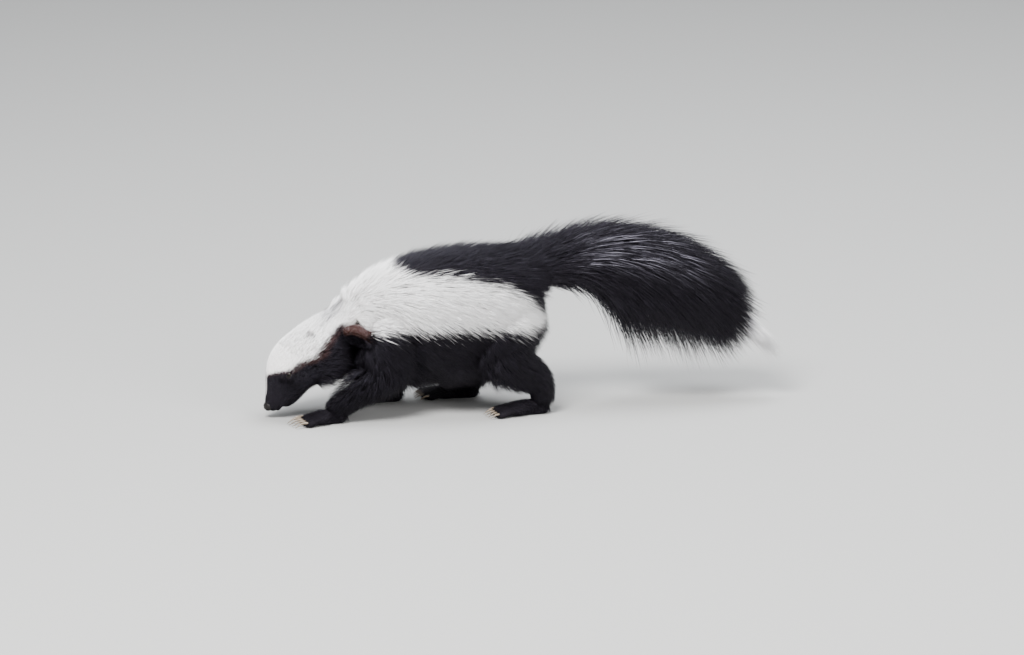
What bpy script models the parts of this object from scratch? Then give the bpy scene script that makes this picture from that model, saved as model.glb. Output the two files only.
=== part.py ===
"""Striped skunk nosing along the ground, tail held out behind: a life-size still model.

+X is the nose end, +Y the animal's left, +Z up. The floor is at zero and the middle of
the animal's box stands over the origin. Tables and constants are in millimetres.
"""

import math

import bmesh
import bpy
import numpy as np
from mathutils import Matrix, Vector
from mathutils.bvhtree import BVHTree

MM = 0.001
GAP = 0.3
SEED = 11

# Trunk under its coat. A row is x, z, pitch, rise, drop and half width of one section.
TRUNK = [
    (-25, 92, 0, 9, 14, 12),
    (-20, 91, 0, 24, 30, 27),
    (-8, 90, 0, 41, 45, 38),
    (8, 90, 0, 49, 52, 44),
    (32, 90, 0, 52, 56, 47),
    (62, 88, 0, 52, 56, 46.5),
    (90, 86, 2, 50, 54, 44),
    (116, 83, 8, 44, 50, 40),
    (138, 82, 26, 30, 42, 37),
]
CHEST = ((122, 0, 62), (32, 32, 29))
THROAT = (96, -16, (24, 22, 16))
BELLY = ((60, 0, 60), (62, 40, 31))

# Head on its own axis. A row is the distance from the nose, then rise, drop and half width.
HEAD = [
    (114, 8, 26, 32),
    (100, 13, 27, 33),
    (86, 19, 28, 33),
    (70, 26, 26, 33),
    (52, 30, 21, 29.5),
    (38, 28.5, 16.5, 23),
    (24, 21.5, 12.5, 14.5),
    (12, 12.5, 9.5, 10),
    (5, 7.5, 7, 7.5),
    (1, 4, 4, 4.5),
]
NOSE_PIVOT = (159.0, 0.0, 89.0)
NOSE_REACH = (67.0, 81.0)
HEAD_PITCH = 50.4
HEAD_YAW = 6.0
HEAD_BACK = 112.0
NECK_X = 121.0
NECK_LEAN = 14.0

# Limb bones as x, y, z and radius; the foot is added at the end of each.
LEGS = {
    "front_left": [(126, 28, 76, 20), (124, 35, 48, 17), (152, 36, 25, 12), (168, 36, 14, 10)],
    "front_right": [(122, -28, 76, 20), (106, -36, 48, 17), (101, -35.5, 26, 12), (104, -35, 14, 10)],
    "hind_left": [(16, 25, 82, 27), (16, 33, 54, 24), (-12, 38, 32, 15), (-19, 38.5, 16, 10.5)],
    "hind_right": [(34, -25, 82, 27), (50, -32, 54, 24), (33, -36, 30, 15), (29, -36.5, 16, 10.5)],
}
FEET = {
    "front_left": (167, 35.5, 26, 8, 10.5),
    "front_right": (103, -34, 26, -6, 10.5),
    "hind_left": (-17, 38, 36, 6, 10.5),
    "hind_right": (32, -36, 36, -5, 10.5),
}
LEG_ROOM = (5.0, 5.0, 6.0, 8.0)
WRIST = 12.0
TOE_SPREAD = 5.6
TOE_RADIUS = 3.7
FRONT_CLAW = (14.5, 1.35)
HIND_CLAW = (10.0, 1.2)

# Tail core: x, z and radius along its middle line.
TAIL = [
    (14, 108, 15),
    (-10, 119, 15),
    (-40, 131, 14.5),
    (-70, 139, 14),
    (-100, 140, 13.5),
    (-130, 134, 12.5),
    (-152, 124, 11),
    (-163, 117, 9),
]
TAIL_ROOM = 20.0
TAIL_ROOT = (-17.0, 121.0)

# A lock's cross sections by their share of its length, and their share of its width.
LOCK_STOPS = (-0.12, 0.36, 0.74)
LOCK_TAPER = (0.7, 1.0, 0.66)

# Ways to bend a lock clear of its neighbours: more rise, share of its length, step back.
LOCK_BENDS = (
    (0, 1.0, 0),
    (2, 1.0, 0),
    (0, 1.0, 4),
    (-3, 0.9, 0),
    (4, 0.95, 4),
    (0, 0.7, 0),
    (6, 0.85, 5),
    (0, 0.65, 7),
    (-2, 0.5, 2),
)

# Long coat: how many locks go round, their reach from the top in degrees, and their sizes.
TORSO_LOCKS = {"round": 12, "reach": 150, "length": 38.0, "width": 15.5, "thick": 4.0, "rise": 9.0, "hug": 0.3}
NECK_LOCKS = {"round": 8, "reach": 92, "length": 26.0, "width": 14.0, "thick": 4.0, "rise": 5.0, "hug": 0.85}
TORSO_ROWS = [(x, 86.0, 0.0) for x in (113, 94, 75, 56, 37, 19, 2, -12)]
NECK_ROWS = [(146.0, 84.0, 32.0), (134.0, 82.0, 22.0)]
FLOOR_ROOM = 24.0
SIDE_ROOM = 61.0
RUMP_RISE = 12.0
RUMP_STARTS = 28.0
RUMP_ENDS = -10.0
SKIN_NEAR = 0.5

# How the tail's locks lie at stops along it: length on top and below, slope on top and below.
TAIL_LOCKS = {"rings": 10, "round": 9, "start": 0.17, "width": 15.0, "thick": 5.0}
TAIL_STOPS = (0.17, 0.25, 0.35, 0.43, 0.6, 0.78, 0.9, 1.0)
TAIL_LONG_TOP = (42, 48, 54, 58, 61, 64, 69, 72)
TAIL_LONG_BELOW = (24, 38, 70, 94, 101, 94, 86, 78)
TAIL_SLOPE_TOP = (44, 38, 26, 13, -4, -17, -26, -35)
TAIL_SLOPE_BELOW = (-10, -30, -54, -63, -66, -64, -61, -56)
TAIL_SPREAD = 0.4

EYE_AT = 35.0
EYE_TURN = 62.0
EYE_RADIUS = 4.3
EYE_SINK = 2.5
LID = (4.3, 3.5, 1.25)
EAR_AT = (101.0, 28.0, -12.0)
EAR_SIZE = (12.5, 10.5, 6.5)
EAR_HOLLOW = (9.5, 7.9, 5.5)
NOSE_PAD = (5.0, 5.6, 4.6)
NOSE_AT = (3.2, 1.6)
NOSTRIL = (2.6, 1.1)
MOUTH = [(5.5, 178), (6.5, 150), (9, 124), (15, 113), (22, 110), (30, 110), (37, 112)]
LIP_RADIUS = 1.7
MOUTH_RADIUS = 0.75

VOXEL = 1.5
BODY_FACES = 3500

BLACK = (0.018, 0.016, 0.018)
WHITE = (0.86, 0.85, 0.82)
BROWN = (0.09, 0.05, 0.035)
NOSE_BLACK = (0.02, 0.017, 0.016)
EYE_BLACK = (0.008, 0.006, 0.005)
HORN = (0.21, 0.17, 0.13)


def collection(name):
    """A new collection under the scene."""
    made = bpy.data.collections.new(name)
    bpy.context.scene.collection.children.link(made)
    return made


def material(name, colour, roughness):
    """One plain surface."""
    made = bpy.data.materials.new(name)
    made.use_nodes = True
    shader = made.node_tree.nodes["Principled BSDF"]
    shader.inputs["Base Color"].default_value = (*colour, 1.0)
    shader.inputs["Roughness"].default_value = roughness
    shader.inputs["Metallic"].default_value = 0.0
    made.diffuse_color = (*colour, 1.0)
    return made


def tool_object(name, data):
    """A working object, hidden from renders until it becomes a part."""
    made = bpy.data.objects.new(name, data)
    made.hide_render = True
    made.display_type = "WIRE"
    tools.objects.link(made)
    return made


def finished(name, shape):
    """A working object from a closed shape, its faces turned outward."""
    shape.normal_update()
    bmesh.ops.recalc_face_normals(shape, faces=shape.faces)
    if shape.calc_volume(signed=True) < 0:
        bmesh.ops.reverse_faces(shape, faces=shape.faces)
    mesh = bpy.data.meshes.new(name)
    shape.to_mesh(mesh)
    shape.free()
    return tool_object(name, mesh)


def unit(way):
    """The direction of a vector."""
    return np.array(way, float) / np.linalg.norm(way)


def smooth_rows(rows, count):
    """Rows between the given ones, on a smooth curve through them."""
    rows = np.array(rows, float)
    last = len(rows) - 1
    made = []
    for t in np.linspace(0, last, count):
        i = min(int(t), last - 1)
        f = t - i
        p0, p1, p2, p3 = (rows[min(max(k, 0), last)] for k in (i - 1, i, i + 1, i + 2))
        bend = (p2 - p0) * f + (2 * p0 - 5 * p1 + 4 * p2 - p3) * f**2
        made.append(p1 + 0.5 * (bend + (3 * p1 - p0 - 3 * p2 + p3) * f**3))
    return np.array(made)


def frame_at(pitch, yaw):
    """Side and up directions of a section that faces down by the pitch and left by the yaw."""
    tilt = math.radians(pitch)
    turn = math.radians(yaw)
    side = np.array([-math.sin(turn), math.cos(turn), 0.0])
    up = np.array([math.sin(tilt) * math.cos(turn), math.sin(tilt) * math.sin(turn), math.cos(tilt)])
    return side, up


def oval(row, sides, grow):
    """Points round one section: x, y, z, pitch, yaw, rise, drop, half width."""
    x, y, z, pitch, yaw, rise, drop, half = row
    side, up = frame_at(pitch, yaw)
    ring = []
    for angle in np.linspace(0, 2 * math.pi, sides, endpoint=False):
        reach = rise if math.cos(angle) > 0 else drop
        across = side * math.sin(angle) * (half + grow)
        ring.append(np.array([x, y, z]) + across + up * math.cos(angle) * (reach + grow))
    return ring


def loft(name, rows, sides=32, count=72, grow=0.0):
    """Skin over oval sections of different shape and direction."""
    shape = bmesh.new()
    rings = []
    for row in smooth_rows(rows, count):
        rings.append([shape.verts.new(Vector(p) * MM) for p in oval(row, sides, grow)])
    for ring, following in zip(rings, rings[1:]):
        for i in range(sides):
            j = (i + 1) % sides
            shape.faces.new((ring[i], ring[j], following[j], following[i]))
    shape.faces.new(rings[0][::-1])
    shape.faces.new(rings[-1])
    return finished(name, shape)


def tube(name, rows, closed=False, grow=0.0, sides=6, steps=3):
    """A bevelled curve through rows of x, y, z and radius, made a mesh."""
    count = (len(rows) - 1) * steps + 1
    rows = np.array(rows, float) if closed else smooth_rows(rows, count)
    curve = bpy.data.curves.new(name, "CURVE")
    curve.dimensions = "3D"
    curve.bevel_depth = MM
    curve.bevel_resolution = sides // 2 - 2
    curve.use_fill_caps = not closed
    spline = curve.splines.new("POLY")
    spline.points.add(len(rows) - 1)
    spline.use_cyclic_u = closed
    for point, row in zip(spline.points, rows):
        point.co = (*(row[:3] * MM), 1.0)
        point.radius = row[3] + grow
    wire = tool_object(name, curve)
    shape = bmesh.new()
    graph = bpy.context.evaluated_depsgraph_get()
    mesh = bpy.data.meshes.new_from_object(wire.evaluated_get(graph))
    shape.from_mesh(mesh)
    discard(wire)
    bmesh.ops.remove_doubles(shape, verts=shape.verts, dist=0.00001)
    return finished(name, shape)


def limb(name, rows):
    """A tube with a ball at each end, its pieces left loose."""
    return [
        tube(name, rows, sides=16, steps=6),
        ball(name, rows[0][:3], [rows[0][3]] * 3),
        ball(name, rows[-1][:3], [rows[-1][3]] * 3),
    ]


def ball(name, centre, radii, axes=None, grow=0.0, detail=3):
    """An egg shape; the axes are its three directions."""
    shape = bmesh.new()
    bmesh.ops.create_icosphere(shape, subdivisions=detail, radius=1.0)
    frame = np.eye(3) if axes is None else np.array(axes)
    for vert in shape.verts:
        away = frame.T @ (np.array(vert.co) * (np.array(radii, float) + grow))
        vert.co = Vector(np.array(centre) + away) * MM
    return finished(name, shape)


def hull(name, rows, grow=0.0):
    """The tight skin round a few balls given as x, y, z and radius."""
    dots = bmesh.new()
    bmesh.ops.create_icosphere(dots, subdivisions=2, radius=1.0)
    shape = bmesh.new()
    for x, y, z, radius in rows:
        for dot in dots.verts:
            shape.verts.new((Vector((x, y, z)) + dot.co * (radius + grow)) * MM)
    dots.free()
    bmesh.ops.convex_hull(shape, input=shape.verts)
    inside = [vert for vert in shape.verts if not vert.link_faces]
    bmesh.ops.delete(shape, geom=inside, context="VERTS")
    return finished(name, shape)


def block(name, low, high):
    """A box between two corners."""
    shape = bmesh.new()
    bmesh.ops.create_cube(shape, size=1.0)
    middle = (Vector(low) + Vector(high)) * 0.5
    size = Vector(high) - Vector(low)
    for vert in shape.verts:
        vert.co = (middle + Vector(a * b for a, b in zip(vert.co, size))) * MM
    return finished(name, shape)


def settle(made):
    """Applies the modifiers of an object."""
    graph = bpy.context.evaluated_depsgraph_get()
    mesh = bpy.data.meshes.new_from_object(made.evaluated_get(graph))
    made.modifiers.clear()
    made.data = mesh


def discard(made):
    """Removes an object."""
    bpy.data.objects.remove(made, do_unlink=True)


def islands_of(shape):
    """The separate surfaces of a mesh as lists of corners, smallest first."""
    seen = set()
    islands = []
    for vert in shape.verts:
        if vert in seen:
            continue
        island = [vert]
        seen.add(vert)
        for near in island:
            fresh = [edge.other_vert(near) for edge in near.link_edges]
            fresh = [other for other in fresh if other not in seen]
            seen.update(fresh)
            island += fresh
        islands.append(island)
    return sorted(islands, key=len)


def largest_surface(made):
    """Keeps only the biggest closed surface of a mesh."""
    shape = bmesh.new()
    shape.from_mesh(made.data)
    loose = [vert for island in islands_of(shape)[:-1] for vert in island]
    bmesh.ops.delete(shape, geom=loose, context="VERTS")
    shape.to_mesh(made.data)
    shape.free()


def carve(made, tool, how="DIFFERENCE"):
    """One Boolean of an object with a tool that is used up."""
    step = made.modifiers.new("carve", "BOOLEAN")
    step.operation = how
    step.solver = "MANIFOLD"
    step.object = tool
    settle(made)
    discard(tool)
    largest_surface(made)


def join(made, pieces):
    """One Boolean union of an object with a set of closed pieces, which are then removed."""
    group = collection("pieces to join")
    for piece in pieces:
        tools.objects.unlink(piece)
        group.objects.link(piece)
    step = made.modifiers.new("union", "BOOLEAN")
    step.operation = "UNION"
    step.operand_type = "COLLECTION"
    step.solver = "MANIFOLD"
    step.collection = group
    settle(made)
    for piece in list(group.objects):
        discard(piece)
    bpy.data.collections.remove(group)
    largest_surface(made)


def cut_off(body, name, region):
    """Takes what lies in the region off the body as its own piece, a hair's gap between."""
    piece = tool_object(name, body.data.copy())
    carve(piece, region(0.0), "INTERSECT")
    carve(body, region(GAP))
    return piece


def head_axes():
    """Directions of the head: back along it, to its left, and up off its brow."""
    side, up = frame_at(HEAD_PITCH, HEAD_YAW)
    return np.cross(up, side), side, up


def head_point(along, left, over):
    """Place on the head from the distance behind the nose, to the left and over the axis."""
    back, side, up = head_axes()
    turn = math.radians(HEAD_YAW)
    reach, fall = NOSE_REACH
    nose = np.array(NOSE_PIVOT) + (reach * math.cos(turn), reach * math.sin(turn), -fall)
    return nose + back * along + side * left + up * over


def trunk_rows():
    """Sections from the rump to the nose."""
    rows = []
    for x, z, pitch, rise, drop, half in TRUNK:
        rows.append((x, 0.0, z, pitch, 0.0, rise, drop, half))
    for along, rise, drop, half in HEAD:
        rows.append((*head_point(along, 0, 0), HEAD_PITCH, HEAD_YAW, rise, drop, half))
    return rows


def face_pieces():
    """Throat, cheeks, muzzle, brows and jaw that fill out the head."""
    axes = head_axes()
    along, over, radii = THROAT
    pieces = [ball("throat", head_point(along, 0, over), radii, axes)]
    pieces.append(ball("jaw", head_point(30, 0, -10), (20, 10, 7), axes))
    for sign in (-1, 1):
        pieces.append(ball("cheek", head_point(62, sign * 15, -10), (20, 15, 15), axes))
        pieces.append(ball("muzzle", head_point(17, sign * 4.5, -2), (11, 6.5, 8), axes))
        pieces.append(ball("brow", head_point(37, sign * 12.5, 12), (11, 6.5, 7), axes))
    return pieces


def foot_axes(key):
    """Heel, forward and left of one foot."""
    x, y, length, splay, half = FEET[key]
    turn = math.radians(splay)
    ahead = np.array([math.cos(turn), math.sin(turn), 0.0])
    left = np.array([-math.sin(turn), math.cos(turn), 0.0])
    return np.array([x, y, 0.0]), ahead, left


def toe_lines(key):
    """Root and tip of each of the five toes, the inner one shortest."""
    heel, ahead, left = foot_axes(key)
    length = FEET[key][2]
    lines = []
    for k in range(5):
        off = (k - 2) * TOE_SPREAD * 0.92
        short = (0.0, 1.0, 2.2, 1.2, 4.0)[k if key.endswith("right") else 4 - k]
        root = heel + ahead * length * 0.55 + left * off * 0.75 + (0, 0, 6)
        tip = heel + ahead * (length + 7.0 - short - 0.25 * abs(off)) + left * off * 1.15 + (0, 0, 3.6)
        lines.append((root, tip))
    return lines


def foot_pieces(key):
    """Sole, pad and toes of one foot, its ground side still round."""
    heel, ahead, left = foot_axes(key)
    length, half = FEET[key][2], FEET[key][4]
    sole = [(*(heel + (0, 0, 6.5)), 8.6), (*(heel + ahead * length * 0.6 + (0, 0, 5)), 8)]
    pieces = limb("sole", sole)
    pad = heel + ahead * length * 0.62 + (0, 0, 5)
    pieces.append(ball("pad", pad, (10, half + 0.5, 6.5), (ahead, left, (0, 0, 1))))
    for root, tip in toe_lines(key):
        pieces += limb("toe", [(*root, TOE_RADIUS + 0.6), (*tip, TOE_RADIUS)])
    return pieces


def claw(name, root, tip, size, grow=0.0):
    """A curved tapering claw with its root in the end of a toe."""
    length, radius = size
    ahead = unit((tip - root) * (1, 1, 0))
    start = tip + ahead * (TOE_RADIUS - 2.5) + (0, 0, 0.6)
    rows = []
    for t in (0.0, 0.35, 0.7, 1.0):
        rise = 1.1 * math.sin(math.pi * t) - 2.0 * t**2
        rows.append((*(start + ahead * length * t + (0, 0, rise)), radius * (1.0 - 0.78 * t)))
    rows[0] = (*(start - ahead * grow), radius)
    return tube(name, rows, sides=4, steps=1, grow=grow)


def merged(name, pieces):
    """Several closed pieces in one mesh, not yet joined."""
    shape = bmesh.new()
    for piece in pieces:
        shape.from_mesh(piece.data)
        discard(piece)
    mesh = bpy.data.meshes.new(name)
    shape.to_mesh(mesh)
    shape.free()
    return tool_object(name, mesh)


def flow_together(body):
    """Melts overlapping pieces into one smooth skin and thins it out."""
    step = body.modifiers.new("flow", "REMESH")
    step.mode = "VOXEL"
    step.voxel_size = VOXEL * MM
    step = body.modifiers.new("smooth", "SMOOTH")
    step.factor = 0.5
    step.iterations = 5
    settle(body)
    step = body.modifiers.new("thin out", "DECIMATE")
    step.ratio = BODY_FACES / (2.0 * len(body.data.polygons))
    settle(body)


def body_shape():
    """Trunk, head, limbs and tail core as one body with flat soles."""
    pieces = [loft("trunk", trunk_rows()), ball("chest", *CHEST), ball("belly", *BELLY)]
    pieces += face_pieces()
    for key, rows in LEGS.items():
        pieces += limb("leg", rows) + foot_pieces(key)
    pieces += limb("tail", [(x, 0.0, z, radius) for x, z, radius in TAIL])
    body = merged("torso", pieces)
    flow_together(body)
    sole = 0.35
    carve(body, block("ground", (-400, -200, -50), (400, 200, sole)))
    body.data.transform(Matrix.Translation((0, 0, -sole * MM)))
    return body


def paw_region(key):
    """The space of one paw, up to its wrist."""
    x, y, length, splay, half = FEET[key]

    def region(grow):
        low = (x - 14 - grow, y - 19 - grow, -6 - grow)
        return block("paw region", low, (x + length + 16 + grow, y + 19 + grow, WRIST + grow))

    return region


def leg_region(key):
    """The space of one leg, its rounded top set in the trunk."""
    rows = [list(row) for row in LEGS[key]]
    rows[0] = list(rows[1])
    rows[0][2] -= 5
    rows[0][0] += 6 if key.startswith("hind") else 0
    for row, more in zip(rows, LEG_ROOM):
        row[3] += more

    def region(grow):
        made = hull("leg region", rows[:2], grow)
        join(made, [hull("leg region", rows[1:3], grow), hull("leg region", rows[2:], grow)])
        return made

    return region


def head_region(grow):
    """The space of the head, flat where it meets the neck."""
    table = np.array(HEAD[::-1], float)
    rows = []
    for along in (HEAD_BACK + grow, 90, 70, 50, 30, 15, 0, -12):
        rise, drop, half = (np.interp(along, table[:, 0], table[:, k]) for k in (1, 2, 3))
        rows.append((*head_point(along, 0, 0), HEAD_PITCH, HEAD_YAW, rise + 11, drop + 5, half + 8))
    return loft("head region", rows, count=15, sides=16, grow=grow)


def neck_region(grow):
    """All that lies in front of the shoulders once the head and legs are off."""
    made = block("neck region", (-grow, -90, -60), (160, 90, 120))
    lean = Matrix.Rotation(math.radians(NECK_LEAN), 4, "Y")
    made.data.transform(Matrix.Translation(Vector((NECK_X, 0, 80)) * MM) @ lean)
    return made


def tail_region(grow):
    """The space of the tail, its rounded root set in the rump."""
    x, z = TAIL_ROOT
    middle = (x - 56, 0.0, z + 6, TAIL_ROOM + 30)
    made = hull("tail region", [(x, 0.0, z, TAIL_ROOM), middle], grow)
    join(made, [hull("tail region", [middle, (-300, 0.0, 100, 150)], grow)])
    return made


def tree_of(made):
    """Search tree of a piece's surface."""
    corners = [vert.co.copy() for vert in made.data.vertices]
    return BVHTree.FromPolygons(corners, [tuple(face.vertices) for face in made.data.polygons])


def surface_hit(tree, start, way):
    """Where a ray from inside meets a surface, and the outward normal there."""
    place, normal, index, distance = tree.ray_cast(Vector(start) * MM, Vector(way).normalized())
    return np.array(place) / MM, np.array(normal)


def around_head(tree, along, angle):
    """Surface point and normal at a turn about the head's axis, 0 up and positive to the left."""
    back, side, up = head_axes()
    turn = math.radians(angle)
    return surface_hit(tree, head_point(along, 0, 0), side * math.sin(turn) + up * math.cos(turn))


def lid_ring(centre, normal):
    """The pair of lids round one eye as a closed ring."""
    back = head_axes()[0]
    long_way = unit(back - normal * back.dot(normal))
    tall_way = np.cross(normal, long_way)
    wide, high, thick = LID
    rows = []
    for turn in np.linspace(0, 2 * math.pi, 14, endpoint=False):
        off = long_way * math.cos(turn) * wide + tall_way * math.sin(turn) * high
        rows.append((*(centre + off + normal * (EYE_SINK + 0.25)), thick))
    return tube("lids", rows, closed=True)


def mouth_path(tree, radius):
    """The line of the lips from one corner of the mouth to the other."""
    sides = []
    for sign in (-1, 1):
        sides.append([(*around_head(tree, along, sign * turn)[0], radius) for along, turn in MOUTH])
    return sides[0][::-1] + sides[1][1:]


def finish_head(head):
    """Adds lids, lips and mouth line, sinks the eyes and the nose, and gives those back."""
    tree = tree_of(head)
    eyes = {}
    rims = [tube("lips", mouth_path(tree, LIP_RADIUS), steps=1)]
    for word, sign in (("left", 1), ("right", -1)):
        place, normal = around_head(tree, EYE_AT, sign * EYE_TURN)
        eyes[word] = place - unit(normal) * EYE_SINK
        rims.append(lid_ring(eyes[word], unit(normal)))
    join(head, rims)
    carve(head, tube("mouth line", mouth_path(tree, MOUTH_RADIUS), sides=4, steps=1))
    made = {"nose": nose(head)}
    for word, centre in eyes.items():
        radii = [EYE_RADIUS] * 3
        carve(head, ball("socket", centre, radii, grow=GAP, detail=2))
        made["eye_" + word] = ball("eye_" + word, centre, radii, detail=2)
    return made


def nose(head):
    """The nose pad with its two nostrils, bedded in the head."""
    along, over = NOSE_AT
    centre = head_point(along, 0, over)
    carve(head, ball("nose bed", centre, NOSE_PAD, head_axes(), grow=GAP, detail=2))
    pad = ball("nose", centre, NOSE_PAD, head_axes(), detail=2)
    apart, radius = NOSTRIL
    for sign in (-1, 1):
        start = head_point(-2.6, sign * (apart - 0.3), 1.0)
        inner = head_point(2.0, sign * (apart + 0.3), 0.6)
        carve(pad, tube("nostril", [(*start, radius), (*inner, radius - 0.2)], sides=8, steps=2))
    return pad


def ear(word, sign, hosts):
    """A low rounded ear, its root set in the head, with a cup that opens forward and out."""
    back, side, up = head_axes()
    along, left, over = EAR_AT
    centre = head_point(along, sign * left, over)
    out = unit(side * sign * 0.72 + up * 0.42 - back * 0.1)
    face = -back * 0.8 + side * sign * 0.55 - up * 0.25
    face = unit(face - out * face.dot(out))
    axes = (np.cross(out, face), out, face)
    made = ball("ear_" + word, centre, EAR_SIZE, axes, detail=2)
    carve(made, ball("cup", centre + face * 4.6 + out * 1.5, EAR_HOLLOW, axes, detail=2))
    for host in hosts:
        carve(host, ball("ear bed", centre, EAR_SIZE, axes, grow=GAP, detail=2))
    return made


def lock_sections(root, elbow, tip, over, width, thick):
    """Three-cornered sections of a flat lock along its bend."""
    sections = []
    for stop, wide in zip(LOCK_STOPS, LOCK_TAPER):
        place = root * (1 - stop) ** 2 + elbow * 2 * stop * (1 - stop) + tip * stop**2
        way = (elbow - root) * (1 - stop) + (tip - elbow) * stop
        side = unit(np.cross(way, over))
        crest = unit(np.cross(side, way))
        low = place - crest * thick * 0.3 * wide
        half = side * width * 0.5 * wide
        sections.append((low + half, low - half, place + crest * thick * 0.7 * wide))
    return sections


def lock(line, over, width, thick):
    """A flat tapering lock along a bend of root, elbow and tip, its root sunk in the body."""
    sections = lock_sections(*line, over, width, thick)
    shape = bmesh.new()
    rings = [[shape.verts.new(Vector(p) * MM) for p in section] for section in sections]
    end = shape.verts.new(Vector(line[2]) * MM)
    shape.faces.new(rings[0])
    for ring, following in zip(rings, rings[1:]):
        for i in range(3):
            j = (i + 1) % 3
            shape.faces.new((ring[i], following[i], following[j], ring[j]))
    for i in range(3):
        shape.faces.new((rings[-1][i], end, rings[-1][(i + 1) % 3]))
    return finished("lock", shape)


def clear_lock(make_line, over, width, thick, trees):
    """The first bend of a lock that keeps a hair's gap to the pieces round it, or nothing."""
    for bend in LOCK_BENDS:
        line = make_line(*bend)
        if line[2][2] < FLOOR_ROOM or abs(line[2][1]) > SIDE_ROOM:
            continue
        probe = lock(line, over, width + 4 * GAP, thick + 4 * GAP)
        touches = any(tree_of(probe).overlap(tree) for tree in trees)
        discard(probe)
        if not touches:
            return [lock(line, over, width, thick)]
    return []


def rump_share(x, angle):
    """How much a lock stands up over the root of the tail."""
    share = (RUMP_STARTS - x) / (RUMP_STARTS - RUMP_ENDS)
    return min(1.0, max(0.0, share)) * max(0.0, math.cos(angle)) ** 2


def coat_lie(normal, angle):
    """Which way the coat lies: back along the body and, on the flanks, down."""
    lie = np.array([-1.0, 0.0, -0.16 - 0.34 * math.sin(abs(angle))])
    return unit(lie - normal * lie.dot(normal))


def over_skin(place, normal, rise, hug):
    """A point off the skin: straight over a place, or by the hug over the skin nearest to it."""
    at, facing, index, distance = whole.find_nearest(Vector(place) * MM)
    near = np.array(at) / MM + np.array(facing) * rise
    return (place + normal * rise) * (1 - hug) + near * hug


def coat_lock(place, normal, angle, sizes, trees):
    """One lock of the trunk's coat at a place on its skin."""
    lie = coat_lie(normal, angle)
    length = sizes["length"] * rng.uniform(0.9, 1.12)
    width = sizes["width"] * rng.uniform(0.85, 1.15)
    stand = sizes["rise"] + RUMP_RISE * rump_share(place[0], angle)

    def line(more, share, back):
        rise = stand + more
        hug = sizes["hug"]
        root = over_skin(place + lie * back, normal, 0.0, hug)
        elbow = over_skin(root + lie * length * share * 0.45, normal, rise * 0.75, hug)
        return root, elbow, over_skin(root + lie * length * share, normal, rise, hug)

    return clear_lock(line, normal, width, sizes["thick"], trees)


def coat_locks(made, sizes, rows, neighbours):
    """Rows of overlapping locks over one piece of the trunk."""
    own = tree_of(made)
    trees = [tree_of(near) for near in neighbours]
    pieces = []
    for k, (x, z, pitch) in enumerate(rows):
        side, up = frame_at(pitch, 0.0)
        for i in range(sizes["round"]):
            spread = sizes["reach"] * (2.0 * (i + 0.25 + 0.5 * (k % 2)) / sizes["round"] - 1.0)
            angle = math.radians(spread + rng.uniform(-4, 4))
            ray = side * math.sin(angle) + up * math.cos(angle)
            place, normal = surface_hit(whole, (x, 0.0, z), ray)
            if own.find_nearest(Vector(place) * MM)[3] < SKIN_NEAR * MM:
                pieces += coat_lock(place, normal, angle, sizes, trees)
    return pieces


def tail_lock(centre, radius, way, t, angle, trees):
    """One lock of the tail at a share of its length and a turn from the top."""
    side = np.array([0.0, 1.0, 0.0])
    up = np.cross(side, way)
    out = up * math.cos(angle) + side * math.sin(angle)
    under = 0.5 - 0.5 * math.cos(angle)
    top, below, slope_top, slope_below = (
        np.interp(t, TAIL_STOPS, row)
        for row in (TAIL_LONG_TOP, TAIL_LONG_BELOW, TAIL_SLOPE_TOP, TAIL_SLOPE_BELOW)
    )
    long = (top * (1 - under) + below * under) * rng.uniform(0.93, 1.07)
    slope = math.radians(slope_top * (1 - under) + slope_below * under + rng.uniform(-3, 3))
    chord = unit(np.array([-math.cos(slope), math.sin(angle) * TAIL_SPREAD, math.sin(slope)]))
    width = TAIL_LOCKS["width"] * rng.uniform(0.85, 1.2)
    root = centre + out * (radius - 3)

    def line(more, share, back):
        start = root + way * back
        elbow = start + (chord * 0.36 + way * 0.1 + out * (0.18 - 0.06 * under)) * long * share
        return start, elbow + out * more * 0.5, start + chord * long * share + out * more

    return clear_lock(line, out, width, TAIL_LOCKS["thick"], trees)


def tail_locks(neighbours):
    """Rings of locks: raised on top, hanging in a fringe below, drooping at the end."""
    line = smooth_rows([(x, 0.0, z, radius) for x, z, radius in TAIL], 121)
    ways = np.gradient(line[:, :3], axis=0)
    trees = [tree_of(near) for near in neighbours]
    rings, around, start = (TAIL_LOCKS[word] for word in ("rings", "round", "start"))
    pieces = []
    for ring, t in enumerate(np.linspace(start, 1.0, rings)):
        for i in range(around):
            angle = math.radians(360.0 / around * (i + 0.5 * (ring % 2)) + rng.uniform(-7, 7))
            k = int(min(t + rng.uniform(-0.015, 0.015), 1.0) * 120)
            pieces += tail_lock(line[k, :3], line[k, 3], unit(ways[k]), k / 120.0, angle, trees)
    return pieces


def slot_of(name):
    """Which surface a part wears."""
    for word, slot in (("eye", eye_glass), ("ear", fur_brown), ("nose", skin_nose), ("claw", claw_horn)):
        if word in name:
            return slot
    return fur_white if name == "neck" else fur_black


for item in list(bpy.data.objects):
    bpy.data.objects.remove(item, do_unlink=True)

tools = collection("cutters")
parts = collection("striped skunk")
fur_black = material("black fur", BLACK, 0.6)
fur_white = material("white fur", WHITE, 0.7)
fur_brown = material("ear fur", BROWN, 0.7)
skin_nose = material("nose skin", NOSE_BLACK, 0.4)
eye_glass = material("eye", EYE_BLACK, 0.08)
claw_horn = material("claw", HORN, 0.45)
rng = np.random.default_rng(SEED)

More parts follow.
